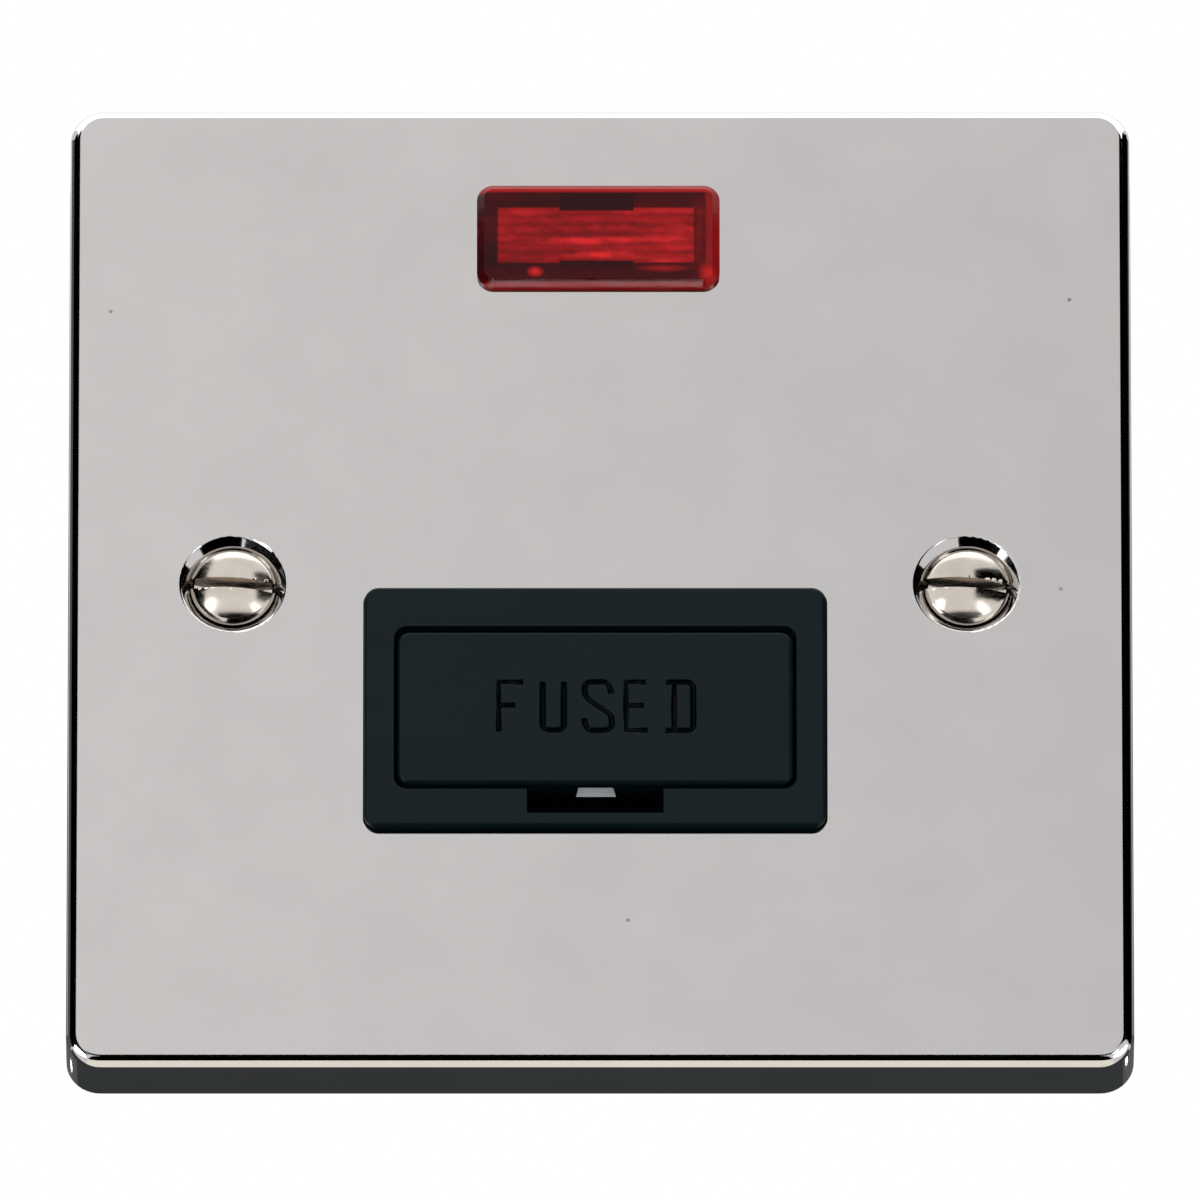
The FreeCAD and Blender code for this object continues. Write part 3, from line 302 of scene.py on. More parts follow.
def specks(tree, scale, size):
    """A mask of sparse small marks over the front plane."""
    place = surface_place(tree, turn=(math.radians(90), 0, 0))
    cells = tree.nodes.new("ShaderNodeTexVoronoi")
    cells.voronoi_dimensions = "2D"
    cells.inputs["Scale"].default_value = scale
    tree.links.new(place, cells.inputs["Vector"])
    near = spread(tree, cells.outputs["Distance"], 1.0, 0.0, size * scale * 0.5, size * scale)
    sparse = spread(tree, grain(tree, place, scale * 0.7, 0), 0, 1, 0.45, 0.6)
    return calculate(tree, "MULTIPLY", near, sparse)


def chrome_finish(colour):
    """Polished chrome with a faint cloud, a few dark specks and a fine haze."""
    material, tree, shader = start_finish("polished chrome", colour, {"Metallic": 1.0})
    place = surface_place(tree)
    cloud = grain(tree, place, 140, 3)
    haze = grain(tree, place, 2600, 4)
    face = ramp(tree, cloud, ((0.3, tinted(colour, 0.975)), (0.7, tinted(colour, 1.025))))
    face = blend_colours(tree, specks(tree, 42, 0.00022), face, tinted(colour, 0.45))
    tree.links.new(face, shader.inputs["Base Color"])
    tree.links.new(spread(tree, haze, 0.05, 0.09), shader.inputs["Roughness"])
    relief(tree, shader, haze, 0.0000008, 0.5)
    return material


def plated_finish(name, colour, rough, scratch=(1, 1, 14), depth=0.000001):
    """Plated or rolled metal with fine scratches drawn along one direction."""
    material, tree, shader = start_finish(name, colour, {"Metallic": 1.0})
    place = surface_place(tree)
    scratches = grain(tree, surface_place(tree, stretch=scratch), 3200, 5)
    stain = grain(tree, place, 420, 4)
    stops = ((0.25, tinted(colour, 0.84)), (0.55, colour), (0.8, tinted(colour, 1.08)))
    tree.links.new(ramp(tree, stain, stops), shader.inputs["Base Color"])
    uneven = calculate(tree, "ADD", spread(tree, stain, -0.04, 0.04),
                       spread(tree, scratches, rough - 0.04, rough + 0.05))
    tree.links.new(uneven, shader.inputs["Roughness"])
    relief(tree, shader, scratches, depth, 0.6)
    return material


def moulded_finish(name, colour, rough, gloss, depth, painted_shade_from=None, letters=None):
    """A moulded plastic: fine skin, faint flow marks and a slightly uneven gloss.
    Its recesses deeper than the given start carry painted shade, darker and duller, and so do its cut
    letters under their rims."""
    material, tree, shader = start_finish(name, colour, {"Specular IOR Level": gloss})
    place = surface_place(tree)
    flow = grain(tree, surface_place(tree, stretch=(3, 1, 1)), 160, 3)
    skin = grain(tree, place, 5200, 3)
    face = ramp(tree, flow, ((0.3, tinted(colour, 0.9)), (0.7, tinted(colour, 1.12))))
    if painted_shade_from is not None:
        axes = tree.nodes.new("ShaderNodeSeparateXYZ")
        tree.links.new(place, axes.inputs["Vector"])
        # Painted shade: recesses deeper than the given start are darker and duller
        sunk = spread(tree, axes.outputs["Y"], 0.0, 1.0, painted_shade_from, painted_shade_from + RECESS_FADE)
        face = blend_colours(tree, sunk, face, tinted(colour, 0.15))
        level_of_gloss = spread(tree, sunk, gloss, gloss * 0.1, 0.0, 1.0)
        # Painted shade in the cut letters: under their rims the grooves are darker and duller
        if letters is not None:
            low_x, high_x, low_z, high_z = letters
            rim, bottom = (DRAWER_FACE + depth for depth in LETTER_DEPTHS)
            cut = calculate(tree, "MULTIPLY", between(tree, axes.outputs["X"], low_x, high_x),
                            between(tree, axes.outputs["Z"], low_z, high_z),
                            between(tree, axes.outputs["Y"], rim, bottom, LETTER_EDGE))
            face = blend_colours(tree, cut, face, tinted(colour, 0.2))
            level_of_gloss = calculate(tree, "MULTIPLY", level_of_gloss,
                                       spread(tree, cut, 1.0, LETTER_GLOSS, 0.0, 1.0))
        tree.links.new(level_of_gloss, shader.inputs["Specular IOR Level"])
    tree.links.new(face, shader.inputs["Base Color"])
    tree.links.new(spread(tree, flow, rough - 0.05, rough + 0.05), shader.inputs["Roughness"])
    relief(tree, shader, skin, depth, 0.5)
    return material


def ceramic_finish(name, colour):
    """Unglazed ceramic with pores and a faint stain."""
    material, tree, shader = start_finish(name, colour, {"Specular IOR Level": 0.3})
    place = surface_place(tree)
    pores = grain(tree, place, 6000, 5)
    stain = grain(tree, place, 500, 3)
    tree.links.new(ramp(tree, stain, ((0.3, tinted(colour, 0.93)), (0.7, tinted(colour, 1.04)))),
                   shader.inputs["Base Color"])
    tree.links.new(spread(tree, pores, 0.5, 0.72), shader.inputs["Roughness"])
    relief(tree, shader, pores, 0.00001, 0.6)
    return material


def between(tree, value, low, high, edge=0.0001):
    """A mask that is white where the value lies between two places."""
    after = spread(tree, value, 0.0, 1.0, low - edge, low + edge)
    before = spread(tree, value, 1.0, 0.0, high - edge, high + edge)
    return calculate(tree, "MULTIPLY", after, before)


def streak(tree, centre, half_length, half_height, turn=0.0):
    """A soft long patch on the front plane."""
    stretch = (half_length, 1.0, half_height)
    patch = tree.nodes.new("ShaderNodeTexGradient")
    patch.gradient_type = "SPHERICAL"
    tree.links.new(surface_place(tree, centre, stretch, (0, turn, 0)), patch.inputs["Vector"])
    return patch.outputs["Fac"]


def lens_finish(colour):
    """Clear red with painted light: the ribbed field is painted glowing, with painted highlights; the wall
    round it and the roots of the snap tabs are painted dark as shade, and the rims are painted lighter at
    the right, the top and the foot.
    """
    values = {"IOR": 1.49, "Specular IOR Level": 0.07}
    material, tree, shader = start_finish("red lens", colour, values)
    low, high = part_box("neon_lens")
    middle = (low + high) / 2
    place = surface_place(tree, centre=middle)
    axes = tree.nodes.new("ShaderNodeSeparateXYZ")
    tree.links.new(place, axes.inputs["Vector"])
    across, up = axes.outputs["X"], axes.outputs["Z"]
    cloud = grain(tree, surface_place(tree, stretch=(2.5, 1, 1)), 1500, 4)
    drift = grain(tree, surface_place(tree, stretch=(3, 1, 1)), 330, 2)

    ribs = tree.nodes.new("ShaderNodeTexWave")
    ribs.bands_direction = "Z"
    for socket, value in (("Scale", 367.0), ("Distortion", 2.2), ("Detail", 3.0), ("Detail Scale", 4.0)):
        ribs.inputs[socket].default_value = value
    tree.links.new(place, ribs.inputs["Vector"])
    # Painted light: the ribbed field is painted as glowing, with painted highlights added over it
    painted_glow_of_ribs = calculate(tree, "MULTIPLY", spread(tree, ribs.outputs["Fac"], 0.36, 0.5, 0.05, 0.95),
                             spread(tree, cloud, 0.78, 1.22), spread(tree, drift, 0.8, 1.2))
    for centre, half_length, half_height, strength in PAINTED_FIELD_HIGHLIGHTS:
        patch = streak(tree, middle + Vector(centre), half_length, half_height, math.radians(-1.5))
        patch = calculate(tree, "MULTIPLY", patch, strength, spread(tree, cloud, 0.5, 1.4))
        painted_glow_of_ribs = calculate(tree, "ADD", painted_glow_of_ribs, patch)

    (left, right), (bottom, top) = LENS_FIELD
    clear_of_tabs = calculate(tree, "SUBTRACT", 1.0, between(tree, across, *LENS_TABS, 0.00006))
    field = calculate(tree, "MULTIPLY", between(tree, across, left, right), between(tree, up, bottom, top),
                      calculate(tree, "MAXIMUM", clear_of_tabs, between(tree, up, *LENS_CORE)))
    # The wall round the field is painted dark as shade, with painted light towards its lower edge and
    # painted highlights
    wall = calculate(tree, "MULTIPLY", clear_of_tabs, spread(tree, drift, 0.0, 0.12, 0.35, 0.65),
                     spread(tree, cloud, 0.5, 1.5))
    painted_lower_edge_light = calculate(tree, "MULTIPLY", spread(tree, up, 0.12, 0.0, -0.0042, -0.0024), 0.9)
    wall = calculate(tree, "MAXIMUM", wall, painted_lower_edge_light)
    for centre, half_length, half_height, strength in PAINTED_WALL_HIGHLIGHTS:
        patch = streak(tree, middle + Vector(centre), half_length, half_height)
        wall = calculate(tree, "ADD", wall, calculate(tree, "MULTIPLY", patch, strength))
    # Painted light on the rims: lighter at the right, the top and the foot
    painted_right_rim_light = calculate(tree, "MULTIPLY", between(tree, across, 0.0088, 0.02, 0.00018), 0.4)
    painted_top_rim_light = calculate(tree, "MULTIPLY", between(tree, up, 0.0038, 0.02), 0.58)
    foot = calculate(tree, "MULTIPLY", between(tree, up, -0.02, -0.0043), 0.38)
    lit = calculate(tree, "MAXIMUM", calculate(tree, "MULTIPLY", field, painted_glow_of_ribs), wall)
    for edge in (calculate(tree, "MAXIMUM", painted_right_rim_light, painted_top_rim_light), foot):
        uneven = calculate(tree, "MULTIPLY", edge, spread(tree, cloud, 0.9, 1.05))
        lit = calculate(tree, "MAXIMUM", lit, uneven)
    # The painted light sets the red: dark where painted as shade, full red where painted as lit
    stops = ((0.0, (0.022, 0.0008, 0.0018)), (0.12, (0.06, 0.0015, 0.003)), (0.6, tinted(colour, 0.6)),
             (1.0, colour))
    tree.links.new(ramp(tree, lit, stops), shader.inputs["Base Color"])
    tree.links.new(spread(tree, lit, 0.14, 0.03, 0.0, 0.5), shader.inputs["Transmission Weight"])
    tree.links.new(spread(tree, cloud, 0.05, 0.14), shader.inputs["Roughness"])
    relief(tree, shader, cloud, 0.00001, 0.2)
    return material


def glass_finish():
    """Clear glass with a faint smear."""
    colour = (0.93, 0.93, 0.91)
    values = {"Transmission Weight": 1.0, "IOR": 1.5}
    material, tree, shader = start_finish("lamp glass", colour, values)
    smear = grain(tree, surface_place(tree), 700, 3)
    tree.links.new(ramp(tree, smear, ((0.3, tinted(colour, 0.92)), (0.7, colour))),
                   shader.inputs["Base Color"])
    tree.links.new(spread(tree, smear, 0.01, 0.06), shader.inputs["Roughness"])
    return material


def resistor_finish():
    """Lacquer with colour bands along the resistor."""
    body, brown, red, gold = (0.62, 0.5, 0.34), (0.1, 0.03, 0.012), (0.45, 0.02, 0.015), (0.5, 0.33, 0.08)
    low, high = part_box("lamp_resistor")
    material, tree, shader = start_finish("resistor body", body, {"Roughness": 0.35})
    axes = tree.nodes.new("ShaderNodeSeparateXYZ")
    tree.links.new(surface_place(tree), axes.inputs["Vector"])
    along = spread(tree, axes.outputs["Z"], 0.0, 1.0, low.z, high.z)
    bands = ((0.0, body), (0.15, brown), (0.25, body), (0.35, red), (0.45, body), (0.55, brown),
             (0.65, body), (0.78, gold), (0.88, body))
    tree.links.new(ramp(tree, along, bands, steps=True), shader.inputs["Base Color"])
    skin = grain(tree, surface_place(tree), 1800, 3)
    tree.links.new(spread(tree, skin, 0.28, 0.45), shader.inputs["Roughness"])
    relief(tree, shader, skin, 0.00003, 0.4)
    return material


def dress(node_name, material):
    """Give a CAD node its finish."""
    mesh = NODES[node_name].data
    mesh.materials.clear()
    mesh.materials.append(material)


def merged_copy(node_name):
    """The shape of a CAD node, with its loose triangles merged."""
    shape = bmesh.new()
    shape.from_mesh(NODES[node_name].data)
    bmesh.ops.remove_doubles(shape, verts=shape.verts, dist=WELD)
    return shape


def mesh_of(shape, name):
    """A mesh made of the shape, which ends with it."""
    mesh = bpy.data.meshes.new(name)
    shape.to_mesh(mesh)
    shape.free()
    return mesh


def new_piece(name, mesh, material):
    """An object at the origin with its mesh and its finish."""
    piece = bpy.data.objects.new(name, mesh)
    bpy.context.scene.collection.objects.link(piece)
    mesh.materials.clear()
    mesh.materials.append(material)
    return piece


def finished_mesh(piece, name):
    """The mesh of an object with its modifiers applied."""
    bpy.context.view_layer.update()
    seen = piece.evaluated_get(bpy.context.evaluated_depsgraph_get())
    mesh = bpy.data.meshes.new_from_object(seen)
    mesh.name = name
    bpy.data.objects.remove(piece)
    return mesh


class SPUR_OT_front_plate(Operator):
    """Give the drawn plate its polished chrome"""
    bl_idname = "spur_unit.front_plate"
    bl_label = "Front Plate"
    bl_options = {"REGISTER", "UNDO"}

    def execute(self, context):
        dress("front_plate", chrome_finish(context.scene.spur_finishes.chrome))
        return {"FINISHED"}


class SPUR_OT_mouldings(Operator):
    """Give the insert, the drawer and the rear housing their plastics"""
    bl_idname = "spur_unit.mouldings"
    bl_label = "Mouldings"
    bl_options = {"REGISTER", "UNDO"}

    def execute(self, context):
        finishes = context.scene.spur_finishes
        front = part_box("front_insert")[0].y
        # The insert and the drawer carry painted shade in their recesses, the drawer also in its cut
        # letters
        dress("front_insert", moulded_finish("satin black moulding", finishes.black, 0.36, 0.13, 0.000003,
                                             front + RECESS_START))
        dress("fuse_carrier", moulded_finish("satin black drawer", finishes.black, 0.32, 0.13, 0.000003,
                                             DRAWER_FACE + RECESS_START, LETTER_FIELD))
        dress("rear_housing", moulded_finish("matt housing moulding", finishes.housing, 0.55, 0.3,
                                             0.000012))
        return {"FINISHED"}


def stroke_profile(context, sizes):
    """The closed section of a stroke, in its own plane."""
    section = bpy.data.curves.new("stroke section", "CURVE")
    outline = section.splines.new("POLY")
    half = [(wide * sizes.stroke / 2, -deep * sizes.depth) for wide, deep in STROKE_SECTION]
    around = half + [(-across, out) for across, out in reversed(half[:-1])]
    outline.points.add(len(around) - 1)
    for point, (across, out) in zip(outline.points, around):
        point.co = (across, out, 0.0, 1.0)
    outline.use_cyclic_u = True
    profile = bpy.data.objects.new("stroke section", section)
    context.scene.collection.objects.link(profile)
    return profile


def word_strokes(context, profile):
    """The strokes of the word, lying flat."""
    curve = bpy.data.curves.new("word strokes", "CURVE")
    curve.dimensions = "3D"
    curve.twist_mode = "Z_UP"
    curve.bevel_mode = "OBJECT"
    curve.bevel_object = profile
    curve.use_fill_caps = True
    for stroke in WORD_STROKES:
        smooth = len(stroke) > 3
        spline = curve.splines.new("NURBS" if smooth else "POLY")
        spline.points.add(len(stroke) - 1)
        for point, (across, up) in zip(spline.points, stroke):
            point.co = (across * MM, up * MM, 0.0, 1.0)
        if smooth:
            spline.order_u = 3
            spline.use_endpoint_u = True
            spline.resolution_u = 6
    strokes = bpy.data.objects.new("word strokes", curve)
    context.scene.collection.objects.link(strokes)
    return strokes


class SPUR_OT_word(Operator):
    """Cut the plain word in the drawer's face"""
    bl_idname = "spur_unit.word"
    bl_label = "Word on the Drawer"
    bl_options = {"REGISTER", "UNDO"}

    def execute(self, context):
        sizes = context.scene.spur_word
        profile = stroke_profile(context, sizes)
        strokes = word_strokes(context, profile)
        black = NODES["fuse_carrier"].data.materials[0]
        cutter_mesh = finished_mesh(strokes, "word cutter")
        bpy.data.objects.remove(profile)
        upright = Matrix.Rotation(math.radians(90), 4, "X")
        cutter_mesh.transform(Matrix.Translation((0, DRAWER_FACE, 0)) @ upright)
        cutter = new_piece("word_cutter", cutter_mesh, black)

        drawer = new_piece("plain_drawer", mesh_of(merged_copy("fuse_carrier"), "plain drawer"), black)
        cut = drawer.modifiers.new("cut", "BOOLEAN")
        cut.operation = "DIFFERENCE"
        cut.solver = "EXACT"
        cut.use_self = True
        cut.object = cutter
        mesh = finished_mesh(drawer, "lettered_drawer")
        bpy.data.objects.remove(cutter)
        lettered = new_piece("lettered_drawer", mesh, black)
        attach(lettered, "fuse_drawer")
        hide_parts("fuse_carrier")
        return {"FINISHED"}


def screw_head(node_name, cut):
    """The head of a CAD screw, cut off square at this distance back."""
    shape = merged_copy(node_name)
    everything = shape.verts[:] + shape.edges[:] + shape.faces[:]
    bmesh.ops.bisect_plane(shape, geom=everything, dist=1e-8, plane_co=(0, cut, 0), plane_no=(0, 1, 0),
                           clear_outer=True)
    rim = [edge for edge in shape.edges if edge.is_boundary]
    bmesh.ops.contextual_create(shape, geom=rim)
    return shape


def threaded_shank(shape, middle, start, end, radius, sizes):
    """A core with a helical ridge, added to the shape from start to end along the screw's axis."""
    root = radius - sizes.depth
    turns = int((end - start - radius + root) / sizes.pitch) - 1
    points = [shape.verts.new((middle + (radius if crest else root), start + along * sizes.pitch, 0.0))
              for crest, along in THREAD_RIDGE]
    edges = [shape.edges.new(pair) for pair in zip(points, points[1:])]
    step = Vector((0, sizes.pitch / sizes.facets, 0))
    bmesh.ops.spin(shape, geom=points + edges, cent=(middle, 0, 0), axis=(0, 1, 0), dvec=step,
                   angle=2 * math.pi * turns, steps=turns * sizes.facets, use_merge=False)
    lie_back = Matrix.Rotation(math.radians(-90), 4, "X")
    place = Matrix.Translation((middle, (start + end) / 2, 0)) @ lie_back
    core = root + CORE_GROWTH
    bmesh.ops.create_cone(shape, cap_ends=True, segments=2 * sizes.facets, radius1=core, radius2=core,
                          depth=end - start, matrix=place)


class SPUR_OT_fixing_screws(Operator):
    """Thread the two fixing screws and give them their nickel"""
    bl_idname = "spur_unit.fixing_screws"
    bl_label = "Fixing Screws"
    bl_options = {"REGISTER", "UNDO"}

    def execute(self, context):
        sizes = context.scene.spur_screws
        nickel = plated_finish("nickel plate", context.scene.spur_finishes.nickel, 0.13, (12, 1, 1),
                               0.000004)
        for side in ("left", "right"):
            node_name = f"fixing_screw_{side}"
            low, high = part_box(node_name)
            middle = (low.x + high.x) / 2
            under_head = low.y + (high.x - low.x) / 2 - SHANK_RADIUS + DOME_HEIGHT
            cut = under_head + sizes.plain
            shape = screw_head(node_name, cut)
            threaded_shank(shape, middle, cut - THREAD_OVERLAP, high.y, SHANK_RADIUS, sizes)
            screw = new_piece(f"threaded_screw_{side}", mesh_of(shape, f"{side}_screw"), nickel)
            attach(screw, f"{side}_fixing_screw")
            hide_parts(node_name)
        return {"FINISHED"}


class SPUR_OT_indicator(Operator):
    """Give the lens, the lamp, its leads and its resistor their finishes"""
    bl_idname = "spur_unit.indicator"
    bl_label = "Indicator"
    bl_options = {"REGISTER", "UNDO"}

    def execute(self, context):
        dress("neon_lens", lens_finish(context.scene.spur_finishes.red))
        dress("neon_lamp", glass_finish())
        dress("lamp_resistor", resistor_finish())
        tin = plated_finish("tinned wire", (0.62, 0.61, 0.59), 0.3)
        for node_name in ("neutral_lamp_lead", "live_lamp_lead", "resistor_lead"):
            dress(node_name, tin)
        return {"FINISHED"}


class SPUR_OT_fuse(Operator):
    """Give the cartridge fuse and its sprung clips their finishes, and lay a sheet of ceramic with painted
    shade on the prise slot's rear wall, where the fuse is seen
    """
    bl_idname = "spur_unit.fuse"
    bl_label = "Fuse and Clips"
    bl_options = {"REGISTER", "UNDO"}

    def execute(self, context):
        finishes = context.scene.spur_finishes
        dress("fuse_barrel", ceramic_finish("fuse ceramic", finishes.ceramic))
        cap = plated_finish("fuse cap plate", (0.64, 0.62, 0.58), 0.2, (14, 1, 1))
        bronze = plated_finish("phosphor bronze", finishes.bronze, 0.28)
        for side in ("left", "right"):
            dress(f"fuse_cap_{side}", cap)
        for node_name in ("line_in_fuse_clip", "line_out_fuse_clip"):
            dress(node_name, bronze)

        # A sheet of ceramic on the prise slot's rear wall, with painted shade, stands for the fuse seen
        # through the slot
        shape = bmesh.new()
        front = SLOT_WALL - SIGHT_RISE
        corners = [shape.verts.new((across * MM, front, up * MM)) for across, up in FUSE_SIGHT]
        face = shape.faces.new(corners)
        grown = bmesh.ops.extrude_face_region(shape, geom=[face])
        sunk = [item for item in grown["geom"] if isinstance(item, bmesh.types.BMVert)]
        bmesh.ops.translate(shape, verts=sunk, vec=(0, SIGHT_THICKNESS, 0))
        rim = [edge for edge in shape.edges if all(vert in corners for vert in edge.verts)]
        bmesh.ops.bevel(shape, geom=rim, offset=SIGHT_BEVEL, offset_type="OFFSET", affect="EDGES",
                        segments=2, profile=0.5, material=-1)
        bmesh.ops.recalc_face_normals(shape, faces=shape.faces)
        shaded = ceramic_finish("fuse ceramic with painted shade", CERAMIC_WITH_PAINTED_SHADE)
        sight = new_piece("fuse_sight", mesh_of(shape, "fuse_sight"), shaded)
        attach(sight, "fuse_drawer")
        return {"FINISHED"}


class SPUR_OT_terminals(Operator):
    """Give the terminals, their screws and the links between them their metals"""
    bl_idname = "spur_unit.terminals"
    bl_label = "Terminals"
    bl_options = {"REGISTER", "UNDO"}

    def execute(self, context):
        finishes = context.scene.spur_finishes
        brass = plated_finish("machined brass", finishes.brass, 0.26, (1, 14, 1))
        zinc = plated_finish("zinc plate", finishes.zinc, 0.3, (6, 1, 1), 0.000002)
        for node_name in ("neutral_link", "earth_strap"):
            dress(node_name, brass)
        for node_name in NODES:
            if node_name.endswith("_terminal"):
                dress(node_name, brass)
            if node_name.endswith("_clamp_screw") or node_name.startswith("housing_screw"):
                dress(node_name, zinc)
        return {"FINISHED"}


# Studio
def stage_card(name, corners, material):
    """A flat card that only the reflections of shiny pieces show."""
    shape = bmesh.new()
    shape.faces.new([shape.verts.new(corner) for corner in corners])
    card = new_piece(name, mesh_of(shape, name), material)
    card.visible_camera = False
    card.visible_diffuse = False
    card.visible_transmission = False
    card.visible_shadow = False
    return card


def facing(left, right, y, bottom, top_left, top_right=None):
    """Corners of an upright card that faces the unit's front."""
    top_right = top_left if top_right is None else top_right
    return (left, y, bottom), (right, y, bottom), (right, y, top_right), (left, y, top_left)


def sideways(x, near, far, bottom, top):
    """Corners of an upright card beside the unit."""
    return (x, near, bottom), (x, far, bottom), (x, far, top), (x, near, top)


def level(left, right, near, far, z):
    """Corners of a level card."""
    return (left, near, z), (right, near, z), (right, far, z), (left, far, z)


def round_card(centre, azimuth, rise, distance, half_length, half_width, turn):
    """Corners of a long round card seen from a point, with its angles in degrees."""
    azimuth, rise, half_length, half_width, turn = (
        math.radians(angle) for angle in (azimuth, rise, half_length, half_width, turn))
    away = Vector((math.sin(azimuth) * math.cos(rise), -math.cos(azimuth) * math.cos(rise), math.sin(rise)))
    right = Vector((math.cos(azimuth), math.sin(azimuth), 0))
    upward = right.cross(away)
    along = right * math.cos(turn) + upward * math.sin(turn)
    beside = upward * math.cos(turn) - right * math.sin(turn)
    middle = Vector(centre) + away * distance
    points = []
    for step in range(CARD_CORNERS):
        angle = 2 * math.pi * step / CARD_CORNERS
        points.append(middle + along * math.cos(angle) * distance * math.tan(half_length)
                      + beside * math.sin(angle) * distance * math.tan(half_width))
    return points


def glow(name, strength, colour=(1.0, 1.0, 1.0), nearest=None):
    """A plain glowing card. With a nearest distance it is clear from its back and from nearer than that."""
    material = bpy.data.materials.new(name)
    material.use_nodes = True
    tree = material.node_tree
    tree.nodes.clear()
    output = tree.nodes.new("ShaderNodeOutputMaterial")
    emission = tree.nodes.new("ShaderNodeEmission")
    emission.inputs["Color"].default_value = (*colour, 1.0)
    emission.inputs["Strength"].default_value = strength
    if nearest is not None:
        clear_from_back(tree, emission.outputs["Emission"], output, nearest)
    else:
        tree.links.new(emission.outputs["Emission"], output.inputs["Surface"])
    return material


def clear_from_back(tree, surface, output, nearest=None):
    """Show the surface only from its front, and from no nearer than the nearest distance."""
    geometry = tree.nodes.new("ShaderNodeNewGeometry")
    hidden = geometry.outputs["Backfacing"]
    if nearest is not None:
        path = tree.nodes.new("ShaderNodeLightPath")
        near = calculate(tree, "LESS_THAN", path.outputs["Ray Length"], nearest)
        hidden = calculate(tree, "MAXIMUM", hidden, near)
    clear = tree.nodes.new("ShaderNodeBsdfTransparent")
    mix = tree.nodes.new("ShaderNodeMixShader")
    tree.links.new(hidden, mix.inputs["Fac"])
    tree.links.new(surface, mix.inputs[1])
    tree.links.new(clear.outputs["BSDF"], mix.inputs[2])
    tree.links.new(mix.outputs["Shader"], output.inputs["Surface"])


def floor_finish(colour):
    """A pale floor that is clear when seen from underneath."""
    values = {"Roughness": 0.9, "Specular IOR Level": 0.1}
    material, tree, shader = start_finish("pale floor", colour, values)
    mottle = grain(tree, surface_place(tree), 40, 2)
    tree.links.new(ramp(tree, mottle, ((0.3, tinted(colour, 0.995)), (0.7, tinted(colour, 1.005)))),
                   shader.inputs["Base Color"])
    output = next(node for node in tree.nodes if node.type == "OUTPUT_MATERIAL")
    clear_from_back(tree, shader.outputs["BSDF"], output)
    return material


def build_world(fill):
    """Even light from all round, which the camera and reflections see as white."""
    world = bpy.data.worlds.new("white studio")
    bpy.context.scene.world = world
    world.use_nodes = True
    tree = world.node_tree
    tree.nodes.clear()
    output = tree.nodes.new("ShaderNodeOutputWorld")
    background = tree.nodes.new("ShaderNodeBackground")
    path = tree.nodes.new("ShaderNodeLightPath")
    seen = calculate(tree, "MAXIMUM", path.outputs["Is Camera Ray"], path.outputs["Is Glossy Ray"])
    seen = calculate(tree, "MAXIMUM", seen, path.outputs["Is Transmission Ray"])
    tree.links.new(spread(tree, seen, fill, 1.0, 0.0, 1.0), background.inputs["Strength"])
    background.inputs["Color"].default_value = (1.0, 1.0, 1.0, 1.0)
    tree.links.new(background.outputs["Background"], output.inputs["Surface"])


def build_lamp(name, spot, size, power):
    """A soft lamp that faces the unit and shows in no reflection."""
    data = bpy.data.lights.new(name, "AREA")
    data.shape = "RECTANGLE"
    data.size, data.size_y = size
    data.energy = power
    lamp = bpy.data.objects.new(name, data)
    bpy.context.scene.collection.objects.link(lamp)
    lamp.location = spot
    lamp.rotation_euler = (-Vector(spot)).to_track_quat("-Z", "Y").to_euler()
    lamp.visible_glossy = False
    lamp.visible_transmission = False
    return lamp


def panel_glow():
    """The light panel that the flat plate mirrors, a little brighter on the left."""
    material = glow("light panel", 1.0)
    tree = material.node_tree
    emission = next(node for node in tree.nodes if node.type == "EMISSION")
    axes = tree.nodes.new("ShaderNodeSeparateXYZ")
    tree.links.new(surface_place(tree), axes.inputs["Vector"])
    tree.links.new(spread(tree, axes.outputs["X"], 1.04, 0.93, -0.045, 0.045), emission.inputs["Strength"])
    return material


